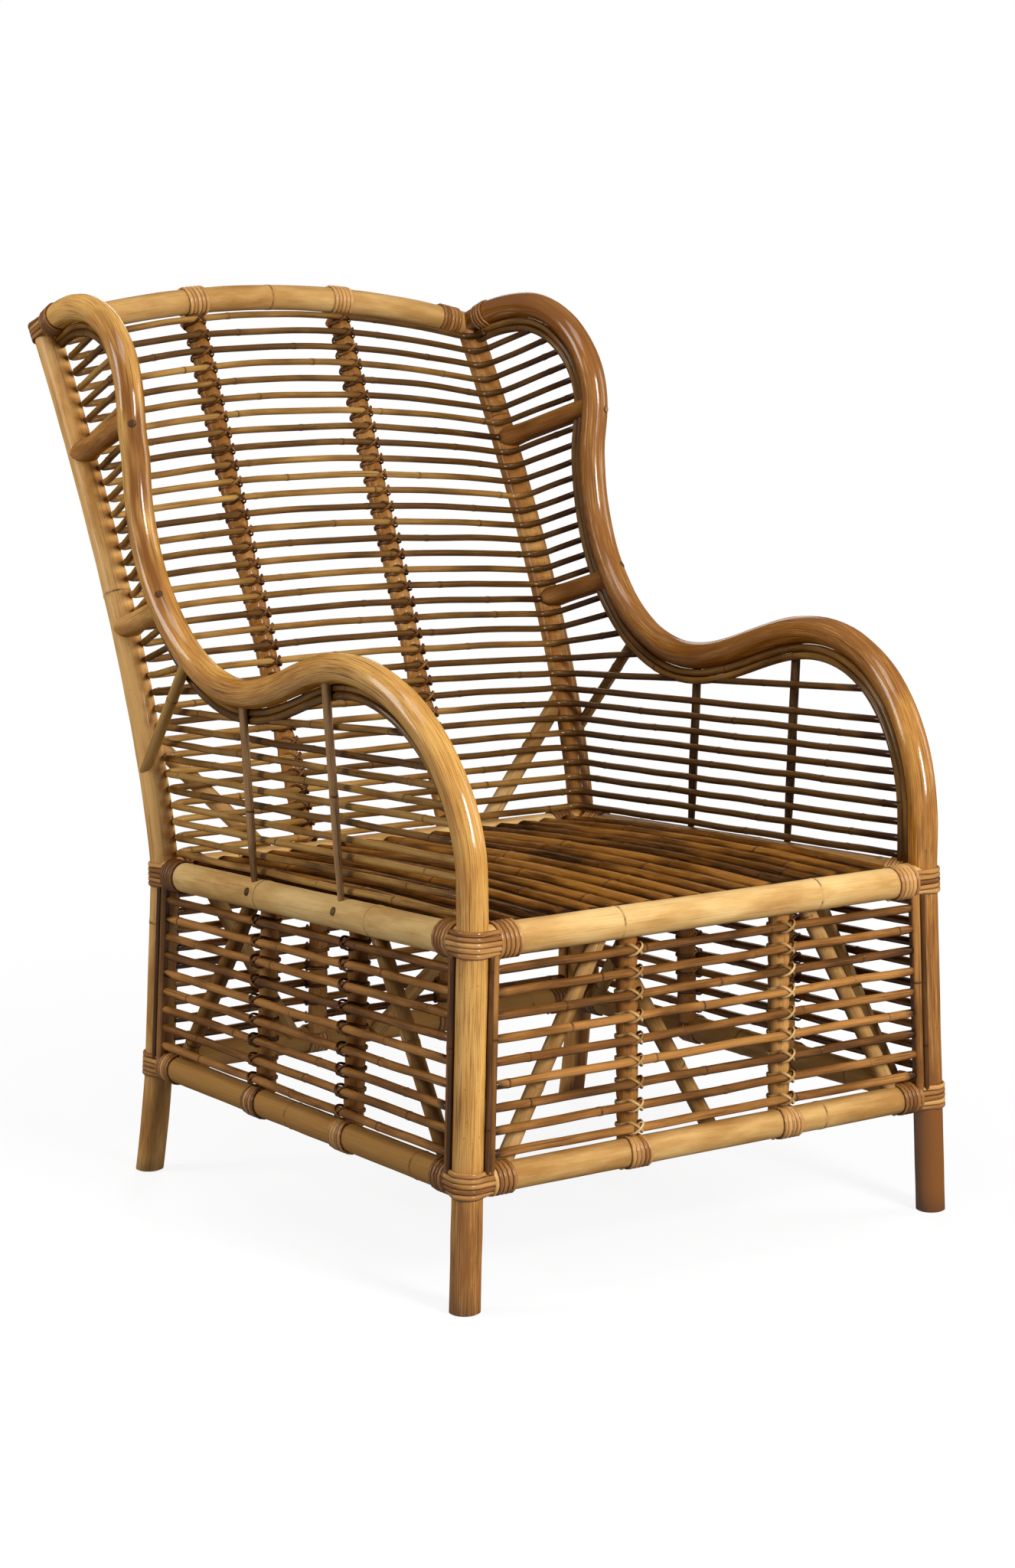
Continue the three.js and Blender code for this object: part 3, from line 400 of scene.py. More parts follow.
def cane_piece(node, finish, route, radius, sides, rings=0, name=None, slot=None, **settings):
    """A piece that is a single cane, drawn over a single solid and mostly named after it."""
    work = Work()
    cane(work, route, radius, sides, rings, **settings)
    finish_piece(name or f"{node}_cane", work, finish, node, slot=slot)


def waver(route, amount):
    """The slight unevenness of a cane that was bent by hand; its ends stay in place."""
    seed = draw.uniform(0, 500)
    moved, last = [], len(route) - 1
    for i, point in enumerate(route):
        hold = min(1.0, i / 4, (last - i) / 4)
        sway, lift = [noise.noise(Vector((i * WAVER_STEP, seed, layer))) for layer in (0, 9)]
        moved.append(point + Vector((0, sway, lift)) * amount * hold)
    return moved


# Centre lines of the frame, for the right side


def front_leg(z):
    return Vector((lerp(SEAT_HALF + FRONT_SPLAY, SEAT_HALF, z / SEAT_FRONT), 0, z))


def rear_post(z):
    if z < SEAT_REAR:
        x = lerp(SEAT_HALF + REAR_SPLAY, SEAT_HALF, z / SEAT_REAR)
        back = LEG_SETBACK * (SEAT_REAR - z) / (SEAT_REAR - LOWER)
        foot = FOOT_SETBACK * max(0.0, 1 - z / LOWER) ** FOOT_BOW
        return Vector((x, SEAT_DEPTH + back + foot, z))
    up = (z - SEAT_REAR) / (POST_TOP - SEAT_REAR)
    return Vector((SEAT_HALF + TOP_SPLAY * up, SEAT_DEPTH + POST_SETBACK * up ** POST_BOW, z))


def on_crest(x):
    rise = CREST_RISE * (1 - (x / (SEAT_HALF + TOP_SPLAY)) ** 2)
    return Vector((x, SEAT_DEPTH + POST_SETBACK, POST_TOP + rise))


def arm_route():
    """The front leg, arm, dip and wing in one bent pole."""
    route = [front_leg(SEAT_FRONT * i / 14) for i in range(15)]
    route += [Vector((SEAT_HALF, 0, lerp(SEAT_FRONT, ARM_BEND, i / 3))) for i in (1, 2, 3)]

    def early(t):
        return math.sin(t * math.pi / 2)

    def late(t):
        return 1 - math.cos(t * math.pi / 2)

    def even(t):
        return t

    def sweep(steps, y, z, splay, ease_y, ease_z):
        start = route[-1]
        for i in range(1, steps + 1):
            t = i / steps
            route.append(Vector((lerp(start.x, SEAT_HALF + splay, smooth(t)),
                                 lerp(start.y, y, ease_y(t)), lerp(start.z, z, ease_z(t)))))

    sweep(24, *ARM_CROWN, late, early)
    sweep(18, *ARM_DIP, even, lambda t: (1 - math.cos(math.pi * t)) / 2)
    sweep(24, *WING_LOW, early, late)
    sweep(4, *WING_HIGH, even, even)
    sweep(18, WING_TOP_SETBACK, POST_TOP + WING_RISE, WING_TOP_SPLAY, late, early)
    sweep(9, SEAT_DEPTH + POST_SETBACK, POST_TOP, TOP_SPLAY, even, lambda t: t * t)
    return route


arm = arm_route()


def liner_route(offset):
    """A cane lying along the inside of the arm pole, from the seat rail to the post."""
    route = []
    for i in range(14, len(arm)):
        along = (arm[min(i + 1, len(arm) - 1)] - arm[i - 1]).normalized()
        inward = Vector((0, along.z, -along.y)).normalized()
        route.append(arm[i] + inward * offset - RIGHT * LINER_INSET)
    return route


def arm_at(setback, from_z):
    return next(a.lerp(b, (setback - a.y) / (b.y - a.y)) for a, b in zip(arm, arm[1:])
                if b.z >= from_z and a.y <= setback < b.y)


outer_liner = liner_route(POLE + LINER - FIT)
inner_liner = liner_route(POLE + 3 * LINER - 2 * FIT)


# Slat rows; the height of a row is taken at the rear post

LOWEST_ROW = SEAT_REAR + SEAT_RAIL + BACK_SLAT + SLAT_LIFT
ROW_PITCH = (POST_TOP - SLAT_DROP - LOWEST_ROW) / (SLAT_ROWS - 1)
ROW_HEIGHTS = [LOWEST_ROW + row * ROW_PITCH for row in range(SLAT_ROWS)]
STANDOFF = POLE + BACK_SLAT + SLAT_FIT


def post_upright(z):
    rise = rear_post(z + 5) - rear_post(z - 5)
    return rise.z / math.hypot(rise.z, rise.y)


def slat_slope(z):
    flat = (SEAT_FRONT - SEAT_REAR) / SEAT_DEPTH
    return lerp(flat, WING_SLOPE, smooth((z - WING_FROM) / (WING_FULL - WING_FROM)))


def slat_arch(z, x):
    """How far a row stands over its own height, which is most in the middle of the back."""
    rise = CREST_RISE * max(0.0, (z - SEAT_REAR) / (POST_TOP - SEAT_REAR)) ** ARCH_FADE
    return rise * max(0.0, 1 - (x / rear_post(z).x) ** 2)


def crossings(z, route):
    """Where a row running forward from the post crosses a cane of the arm, rearmost first."""
    post, found = rear_post(z), []
    above = [p.z - z - slat_slope(z) * (post.y - p.y) for p in route]
    for i in range(1, len(route)):
        if above[i - 1] * above[i] < 0:
            share = above[i - 1] / (above[i - 1] - above[i])
            found.append(route[i - 1].lerp(route[i], share))
    return sorted(found, key=lambda p: -p.y)


def slat_corner(z):
    post = rear_post(z)
    met = crossings(z, inner_liner)
    end = met[0] if met else post - REAR * (4 * POLE)
    upright = post_upright(z)
    forward = Vector((end.x - post.x, (end.y - post.y) * upright)).normalized()
    half_turn = math.acos(forward.x) / 2
    inward = (forward - Vector((1, 0))).normalized()
    reach = STANDOFF - SLAT_BEND * (1 / math.cos(half_turn) - 1)
    corner = Vector((post.x + inward.x * reach, post.y + inward.y * reach / upright, z))
    return end, upright, forward, half_turn, corner


def slat_half(z):
    """The right half of a row, from the middle of the back round the post."""
    end, upright, forward, half_turn, corner = slat_corner(z)
    room = math.hypot(end.x - corner.x, end.y - corner.y)
    tangent = min(SLAT_BEND * math.tan(half_turn), BEND_SHARE * room)
    start = Vector((corner.x - tangent, corner.y, z))
    stop = corner + Vector((forward.x * tangent, forward.y * tangent / upright, 0))
    plan = line(Vector((0, corner.y, z)), start, 18)[:-1]
    for i in range(9):
        t = i / 8
        plan.append(start.lerp(corner, t).lerp(corner.lerp(stop, t), t))
    for p in plan:
        p.z += slat_arch(z, p.x) + slat_slope(z) * (corner.y - p.y)
    return plan


def spreader_ends(z):
    post = rear_post(z)
    return post, next(met for met in crossings(z, arm)
                      if met.z > ARM_DIP[1] and met.y < post.y - 2 * POLE)


def back_stile(z, side):
    """The centre of a back stile at a height, just behind the slats."""
    share = (z - SEAT_REAR) / (POST_TOP - SEAT_REAR)
    x = side * lerp(STILE_FOOT_GAP, STILE_TOP_GAP, share) / 2
    x -= STILE_SWAY * math.sin(math.pi * share)
    row = z
    for _ in range(4):
        row = z - slat_arch(row, x)
    _, upright, _, _, corner = slat_corner(row)
    behind = BACK_SLAT + BACK_STILE + SLAT_FIT
    return Vector((x, corner.y + behind / upright, z)), corner.y


# Bindings


# A strand's run on a rail: distance from the corner, height over the rail
BAND_RUN = ((38.0, -1.5), (28.5, -0.4), (19.0, STRAND_THIN))
BAND_LIFT = 0.6
TURN_STEPS, BEND_STEPS = 14, 8


def strand(work, places, shade=0.0):
    """A flat strand through pairs of a point and the way that it faces there."""
    route, outward = [list(row) for row in zip(*places)]
    cane(work, route, STRAND_WIDE, STRAND_SIDES, outward=outward, thin=STRAND_THIN / STRAND_WIDE,
         wobble=0.05, tint=shade)


def wrap(work, middle, along, radius, turns=5, gather=0.0, shade=0.0):
    """One strand wound round a cane; gather draws its turns together on the top side."""
    along = along.normalized()
    up = (UP - along * UP.dot(along)).normalized()
    out = along.cross(up)
    lying = radius + STRAND_THIN + FIT
    places = []
    for i in range(turns * TURN_STEPS + 1):
        angle = math.tau * i / TURN_STEPS + math.pi
        shift = STRAND_PITCH * (i / TURN_STEPS - turns / 2)
        shift *= 1 - gather * max(0.0, math.cos(angle)) ** 2
        facing = up * math.cos(angle) + out * math.sin(angle)
        places.append((middle + along * shift + facing * lying, facing))
    strand(work, places, shade)


def corner_bands(work, corner, first, second, upward, rail_one, rail_two, count=5):
    """Strands that run along one rail, round the outside of the leg and along the other rail."""
    upward = upward.normalized()
    rails = []
    for mine, other, radius in ((first, second, rail_one), (second, first, rail_two)):
        mine = mine.normalized()
        away = other - mine * other.dot(mine)
        away = -(away - upward * away.dot(upward)).normalized()
        rails.append((mine, away, radius))
    for i in range(count):
        rise = STRAND_PITCH * (i - (count - 1) / 2)
        runs = []
        for mine, away, radius in rails:
            run = []
            for distance, proud in BAND_RUN:
                depth = math.sqrt(max((radius + proud) ** 2 - rise ** 2, 1.0))
                run.append((corner + mine * distance + away * depth + upward * rise,
                            (away * depth + upward * rise).normalized()))
            runs.append(run)
        bend = []
        for k in range(BEND_STEPS + 1):
            facing = rails[0][1].slerp(rails[1][1], k / BEND_STEPS)
            bend.append((corner + facing * (POLE + STRAND_THIN + BAND_LIFT) + upward * rise, facing))
        strand(work, runs[0] + bend + runs[1][::-1])


def curve_through(points, steps=3):
    """A closed smooth run through the given points."""
    count, run = len(points), []
    for i in range(count):
        a, b, c, d = [points[(i + k) % count] for k in (-1, 0, 1, 2)]
        for k in range(steps):
            t = k / steps
            run.append(0.5 * (2 * b + (c - a) * t + (2 * a - 5 * b + 4 * c - d) * t * t
                              + (3 * b - a - 3 * c + d) * t ** 3))
    return run + run[:1]


def tie(work, slat, inward, across, upright, slat_radius, stile_radius):
    """Two strands round a slat and the stile behind it, which cross in front of the slat."""
    over, round_stile = slat_radius + TIE_THIN, stile_radius + TIE_THIN
    deep = slat_radius + stile_radius + SLAT_FIT
    bend = round_stile * 0.72
    for sign in (-1, 1):
        lift = 0.5 + 0.5 * sign
        half = [(round_stile, deep, 1.0), (bend, deep - bend, 4.0), (TIE_SPREAD, 1.0, over + 0.3),
                (TIE_CROSS, -over * 0.72 - lift, over * 0.66)]
        corners = [(-x, y, -z) for x, y, z in half] + [(0.0, -over - lift, 0.0)] + half[::-1]
        corners += [(bend, deep + bend, 0.5), (0.0, deep + round_stile, 0.0),
                    (-bend, deep + bend, -0.5)]
        route = curve_through([slat + across * x + inward * y + upright * (sign * z)
                               for x, y, z in corners])
        outward = []
        for point in route:
            away = point - slat - inward * min(max((point - slat).dot(inward), 0.0), deep)
            outward.append(away.normalized())
        cane(work, route, TIE_WIDE, 5, outward=outward, thin=TIE_THIN / TIE_WIDE, wobble=0.06)


STILE_SWELL, STILE_WAIST = 1.04, 0.1


def scallops(row, next_row):
    """A stile is drawn in by its ties at each row, and swells between them."""
    def width(z):
        held = 0.5 + 0.5 * math.cos(math.tau * (z - row) / (next_row - row))
        return STILE_SWELL - STILE_WAIST * held ** 2
    return width


# Poles and posts


def dark_ends(length, depth):
    return lambda at, total: depth * max(0.0, 1 - min(at, total - at) / length)


def ramp(*steps):
    """A value that changes smoothly along a cane, through pairs of distance and value."""
    def value(at, total):
        for (a, low), (b, high) in zip(steps, steps[1:]):
            if at < b:
                return lerp(low, high, smooth((at - a) / (b - a)))
        return steps[-1][1]
    return value


# The wing was heated to bend it and is stained there; the feet are dark, most on the right
ARM_STAIN = {
    "left": ramp((0, 0.42), (200, 0.3), (700, 0.25), (1080, 0.3), (1220, 0.48), (1480, 0.5),
                 (1570, 0.36)),
    "right": ramp((0, 0.75), (120, 0.62), (200, 0.38), (560, 0.3), (760, 0.52), (1000, 0.4),
                  (1200, 0.42), (1500, 0.52))}
# The tints paint shade on the right: the right pole is darker than the left along most of its length,
# as the side that stands in shade.
ARM_TINT_AND_SHADE = {
    "left": ramp((0, -1.0), (110, -0.6), (180, 0.2), (420, 0.4), (640, 0.5), (800, -0.1),
                 (980, 0.0), (1100, 0.2)),
    "right": ramp((0, -2.0), (160, -1.3), (330, -0.3), (520, 0.1), (700, -0.6), (900, -0.8),
                  (1100, -0.5))}
POST_RINGS, CREST_RINGS = {"left": [300, 686], "right": [360, 890]}, [52, 300, 560]
# The right-hand liners, short slats, spindles and rod are tinted darker than the left-hand ones:
# painted shade on the side that stands in shade.
LINER_TINT_AND_SHADE = {"left": -0.4, "right": -0.7}
SHORT_SLAT_SHADE = {"left": 0.0, "right": -0.9}
SPINDLE_TINT_AND_SHADE = {"left": 0.4, "right": -1.2}
ROD_TINT_AND_SHADE = {"left": 0.35, "right": -0.3}
RAIL_TINT = {"seat": 0.0, "lower": -0.65}
BACK_STILE_TINT, BASE_STILE_TINT, STILE_STAIN = -0.7, -0.6, 0.3
# The last of these tints the thin edge strips dark, which also paints the shade in the gap between
# each leg and its panel.
SEAT_TINT, STRIP_TINT, EDGE_STRIP_SHADE = 0.15, 0.3, -0.8
POST_STAIN = {"left": ramp((0, 0.36), (260, 0.2), (500, 0.1)),
              "right": ramp((0, 0.55), (260, 0.2), (500, 0.14))}
# The left post is tinted paler and the right post darker: painted light and shade on the lit and the
# shaded side.
POST_TINT_AND_SHADE = {"left": ramp((0, 0.1), (300, 0.5), (500, 0.8)), "right": ramp((0, -0.6), (400, -0.55))}
MARK_HALF = 5.0


def slat_shadows_and_dirt(side):
    """Dark marks on a post where the slats bend round it: partly dirt, partly painted shadow cast by
    the slats.
    """
    def mark(point, facing):
        row = round((point.z - LOWEST_ROW) / ROW_PITCH)
        if not 0 <= row < SLAT_ROWS:
            return 0.0
        near = math.exp(-((point.z - ROW_HEIGHTS[row]) / MARK_HALF) ** 2)
        return near * smooth((facing.x * -side * 0.66 - facing.y * 0.75 - 0.15) / 0.75)
    return mark


heights = [LOWER * i / 6 for i in range(6)] + [lerp(LOWER, SEAT_REAR, i / 9) for i in range(9)]
heights += [lerp(SEAT_REAR, POST_TOP, i / 140) for i in range(141)]
post_route = [rear_post(z) for z in heights]
for name, side in SIDES:
    cane_piece(f"{name}_arm_pole", "pole_cane", mirrored(arm, side), POLE, POLE_SIDES, foot=UP,
               stain=ARM_STAIN[name], tint=ARM_TINT_AND_SHADE[name], wobble=0.035, name=f"{name}_arm_cane")
    cane_piece(f"{name}_rear_post", "honey_cane", mirrored(post_route, side), POLE, POST_SIDES,
               POST_RINGS[name], stain=POST_STAIN[name], tint=POST_TINT_AND_SHADE[name], foot=UP,
               spots=slat_shadows_and_dirt(side), swelling=0.03, name=f"{name}_post_cane")

crest_half = SEAT_HALF + TOP_SPLAY - 6
cane_piece("crest_rail", "straw_cane",
           [on_crest(lerp(-crest_half, crest_half, i / 40)) for i in range(41)], CREST, POLE_SIDES,
           CREST_RINGS, swelling=0.02, tint=ramp((0, -0.7), (400, -0.2)), name="crest_cane")


def leg(side, place):
    return lambda z: flip(place(z), side)


LEGS = {(name, end): leg(side, place) for name, side in SIDES
        for end, place in (("front", front_leg), ("rear", rear_post))}
# Each level: the rails' heights and radius
LEVELS = {"seat": ({"front": SEAT_FRONT, "rear": SEAT_REAR}, SEAT_RAIL),
          "lower": ({"front": LOWER, "rear": LOWER}, LOWER_RAIL)}
# Each face: its two legs, the way out, the gap between its stiles, and whether its braces
# spread from the stiles down to the legs or from the legs down to the stiles
FACES = {"front": (("left", "front"), ("right", "front"), -REAR, STILE_FOOT_GAP, True),
         "left": (("left", "front"), ("left", "rear"), -RIGHT, SIDE_STILE_GAP, True),
         "right": (("right", "front"), ("right", "rear"), RIGHT, SIDE_STILE_GAP, True),
         "rear": (("left", "rear"), ("right", "rear"), REAR, REAR_STILE_GAP, False)}
RAIL_INSET = 8

for level, (heights, radius) in LEVELS.items():
    for face, (one, two, *_) in FACES.items():
        a, b = LEGS[one](heights[one[1]]), LEGS[two](heights[two[1]])
        inset = (b - a).normalized() * RAIL_INSET
        cane_piece(f"{face}_{level}_rail", "straw_cane", line(a + inset, b - inset), radius,
                   POLE_SIDES, RAIL_RINGS, swelling=0.03, stain=dark_ends(60, 0.35),
                   tint=RAIL_TINT[level])


# Back: stiles, slats and the canes inside the arms

stile_low = SEAT_REAR + 0.3 * SEAT_RAIL
stile_high = on_crest(STILE_TOP_GAP / 2).z - 0.3 * CREST
row_tops = [z + slat_arch(z, STILE_TOP_GAP / 2) for z in ROW_HEIGHTS]


def back_stile_width(share):
    z = lerp(stile_low, stile_high, share)
    above = next((i for i in range(1, SLAT_ROWS) if row_tops[i] > z), SLAT_ROWS - 1)
    return scallops(row_tops[above - 1], row_tops[above])(z)


for name, side in SIDES:
    cane_piece(f"{name}_back_stile", "honey_cane",
               [back_stile(lerp(stile_low, stile_high, i / 150), side)[0] for i in range(151)],
               BACK_STILE, STILE_SIDES, stain=STILE_STAIN, taper=back_stile_width,
               tint=BACK_STILE_TINT)

post_reach = POLE - 4
for kind, full in (("outer", outer_liner), ("inner", inner_liner)):
    route = list(full)
    while (route[-1] - rear_post(min(route[-1].z, POST_TOP))).length < post_reach:
        route.pop()
    for name, side in SIDES:
        work = Work()
        cane(work, mirrored(route, side), LINER, 10, LINER_RINGS, stain=dark_ends(90, 0.6),
             tint=LINER_TINT_AND_SHADE[name])
        nodes = (f"{name}_outer_liner",) if kind == "outer" else ()
        finish_piece(f"{name}_{kind}_liner_cane", work, "amber_cane", *nodes)

spreader_rows = [ROW_HEIGHTS[row] for row in SPREADER_ROWS]


def meets_spreader(z):
    reach = SPREADER + BACK_SLAT + SLAT_FIT
    return any(abs(z - s) * math.cos(math.atan(slat_slope(s))) < reach for s in spreader_rows)


def slat_stain(at, total):
    """Stain towards a slat's ends, most on the right."""
    return max(dark_ends(70, 0.42)(at, 2 * total), dark_ends(110, 0.85)(total - at, 2 * total))


def slat_tint_and_shade(at, total):
    """Slats are darker across the back than at the left arm, and painted darker towards the right,
    most at the right arm, as shade on that side.
    """
    past = at - total / 2
    back = smooth((past + 260) / 80)
    return -0.2 * back - 0.5 * smooth((past - 30) / 140) - smooth((past - 230) / 160)


slats = Work()
BEND_CUT, SLAT_WAVER, SLAT_SIDES = 5, 1.3, 8
for z in ROW_HEIGHTS:
    met = crossings(z, inner_liner)
    half = slat_half(z)
    if meets_spreader(z):
        half = half[:-BEND_CUT]
    elif met:
        half += line(half[-1], met[0], 18)[1:]
    whole = mirrored(half[1:], -1)[::-1] + half
    cane(slats, waver(whole, SLAT_WAVER), SLAT_SHOWN, SLAT_SIDES, SLAT_RINGS, stain=slat_stain,
         swelling=0.1, tint=slat_tint_and_shade)
    for a, b in zip(met[1::2], met[2::2]):
        for name, side in SIDES:
            cane(slats, mirrored(line(a, b), side), SLAT_SHOWN, SLAT_SIDES, SLAT_RINGS,
                 stain=dark_ends(60, 0.7), tint=SHORT_SLAT_SHADE[name])
finish_piece("back_and_arm_canes", slats, "amber_cane", "back_and_arm_slats")

for name, side in SIDES:
    work = Work()
    for z in ROW_HEIGHTS:
        x = back_stile(z, side)[0].x
        slat = Vector((x, slat_corner(z)[-1].y, z + slat_arch(z, x)))
        lean = (back_stile(z + 5, side)[0] - back_stile(z - 5, side)[0]).normalized()
        tie(work, slat, Vector((0, lean.z, -lean.y)), RIGHT, lean, BACK_SLAT, BACK_STILE)
    finish_piece(f"{name}_back_stile_ties", work, "tie_cane")


# Wing spreaders, spindles, rods and back braces

# A spreader's end is cut to a tongue that laps both sides of the post
TONGUE_PAST, TONGUE_ROUND, TONGUE_HALF, TONGUE_RUN, TONGUE_SQUARE = -6.0, 13.0, 17.6, 52.0, 0.35
# The right spreaders are tinted far darker than the left ones: painted shade on the side that stands
# in shade.
SPREADER_TINT_AND_SHADE = {"left": {"lower": 0.4, "upper": -0.2}, "right": {"lower": -1.3, "upper": -1.1}}
SPREADER_STAIN = {"left": 0.2, "right": 0.5}
PLUG, PLUG_TURN, PLUG_LIFT = 4.6, 0.47, {"lower": 9.0, "upper": -6.0}
TIP_STEPS, TIP_REST = (0.0, 0.3, 1.0, 2.2, 4.0, 6.2, 9.0, 12.5), 16
RAIL_PLUG_FACING = Vector((0.95, 0, 0.3)).normalized()
plugs = []
for name, side in SIDES:
    for label, z in zip(("lower", "upper"), spreader_rows):
        post, wing = mirrored(spreader_ends(z), side)
        along = (wing - post).normalized()
        tip = post - along * TONGUE_PAST
        length = (wing - tip).length
        route = [tip + along * d for d in TIP_STEPS] + line(tip + along * TIP_REST, wing, 5)

        def tongue(share):
            near = min(share * length / TONGUE_ROUND, 1.0)
            return math.sqrt(max(1 - (1 - near) ** 2, 0.0009))

        def lips(share):
            past = share * length - TONGUE_PAST
            lap = math.sqrt(TONGUE_HALF ** 2 - min(past, 0.0) ** 2)
            return lerp(lap / SPREADER, 1.0, smooth(past / TONGUE_RUN))

        def squareness(share):
            return lerp(TONGUE_SQUARE, 1.0, smooth((share * length - TONGUE_PAST) / TONGUE_RUN))

        cane_piece(f"{name}_{label}_wing_spreader", "honey_cane", route, SPREADER, POST_SIDES,
                   stain=SPREADER_STAIN[name], tint=SPREADER_TINT_AND_SHADE[name][label], taper=tongue,
                   thin=lips, square=squareness, blunt=1.0, outward=[RIGHT * side] * len(route),
                   name=f"{name}_{label}_spreader_cane")
        near = min(range(len(arm)), key=lambda i: (flip(arm[i], side) - wing).length)
        rise = flip(arm[near + 1] - arm[near - 1], side).normalized()
        facing = Vector((side * PLUG_TURN, -1, 0))
        facing = (facing - rise * facing.dot(rise)).normalized()
        plugs.append((wing + rise * PLUG_LIFT[label] + facing * POLE, facing))
    for label, setback in zip(("front", "rear"), SPINDLE_SETBACKS):
        rail = lerp(SEAT_FRONT, SEAT_REAR, setback / SEAT_DEPTH)
        foot = Vector((SEAT_HALF + SPINDLE_FOOT, setback, rail))
        head = arm_at(setback, rail) + RIGHT * (LINER + SPINDLE_THIN - LINER_INSET + FIT)
        route = line(*mirrored([foot, head], side), 14)
        cane_piece(f"{name}_{label}_spindle", "split_cane", waver(route, 1.0), SPINDLE_WIDE, 10,
                   SPINDLE_RINGS, thin=SPINDLE_THIN / SPINDLE_WIDE, tint=SPINDLE_TINT_AND_SHADE[name],
                   outward=[RIGHT * side] * len(route), stain=dark_ends(50, 0.5),
                   taper=lambda t: 0.72 + 0.28 * smooth(t / 0.35))
        facing = flip(RAIL_PLUG_FACING, side)
        plugs.append((Vector((SEAT_HALF * side, setback, rail)) + facing * SEAT_RAIL, facing))
    foot = rear_post(ROD_FOOT) + RIGHT * ROD_OFFSET
    head = arm_at(ROD_HEAD, ARM_DIP[1]) + RIGHT * (LINER + ARM_ROD - LINER_INSET + FIT)
    cane_piece(f"{name}_arm_rod", "amber_cane", line(*mirrored([foot, head], side), 14), ARM_ROD,
               BRACE_SIDES, ROD_RINGS, slot="brown_cane", swelling=0.08, tint=ROD_TINT_AND_SHADE[name])

    behind = BACK_BRACE + BACK_SLAT + SLAT_FIT
    head = rear_post(BACK_BRACE_HEAD)
    head.y = back_stile(BACK_BRACE_HEAD, 1)[1] + behind / post_upright(BACK_BRACE_HEAD)
    foot = Vector((BACK_BRACE_HALF, back_stile(stile_low, 1)[1] + behind, SEAT_REAR))
    cane_piece(f"{name}_back_brace", "brace_cane", line(*mirrored([foot, head], side)), BACK_BRACE,
               STILE_SIDES, BACK_BRACE_RINGS)


# Seat

BEARER_SHARES, BEARER_SINK = (0.25, 0.75), 2


def seat_line(share):
    """The seat's line from front to rear, which rises a little in the middle."""
    z = lerp(SEAT_FRONT, SEAT_REAR, share) + SEAT_LIFT
    return share * SEAT_DEPTH, z + SEAT_CROWN * 4 * share * (1 - share)


def painted_gap_shade(point, facing):
    """A seat cane's sides are painted dark, as shade in the gaps between canes; its top is not
    darkened.
    """
    return 1.1 * smooth((0.86 - facing.z) / 0.5)


work = Work()
slat_reach = SEAT_HALF - SEAT_RAIL - SEAT_SLAT - SEAT_EDGE
stop = (SEAT_RAIL + FIT) / SEAT_DEPTH
for i in range(SEAT_CANES):
    x = lerp(-slat_reach, slat_reach, i / (SEAT_CANES - 1))
    route = []
    for k in range(31):
        y, z = seat_line(lerp(stop, 1 - stop, k / 30))
        route.append(Vector((x, y, z)))
    cane(work, waver(route, 1.0), SEAT_SLAT, 16, SEAT_RINGS, stain=dark_ends(35, 0.6),
         swelling=0.045, tint=SEAT_TINT, spots=painted_gap_shade)
for share in BEARER_SHARES:
    y, z = seat_line(share)
    z -= SEAT_SLAT + BEARER_HIGH / 2 - BEARER_SINK
    reach = SEAT_HALF - COPE * SEAT_RAIL
    route = line(Vector((-reach, y, z)), Vector((reach, y, z)))
    cane(work, route, BEARER_WIDE / 2, BRACE_SIDES, thin=BEARER_HIGH / BEARER_WIDE,
         outward=[UP] * len(route))
finish_piece("seat_canes", work, "seat_cane", "seat_slats")


# Base panels

EDGE_OUTSET, EDGE_TUCK, STRIP_PROUD = 13.5, 5.0, 2.2
STILE_INSET = BASE_SLAT + BASE_STILE + FIT - PANEL_OUTSET
BRACE_INSET = BASE_SLAT + BASE_BRACE + BRACE_FIT - PANEL_OUTSET


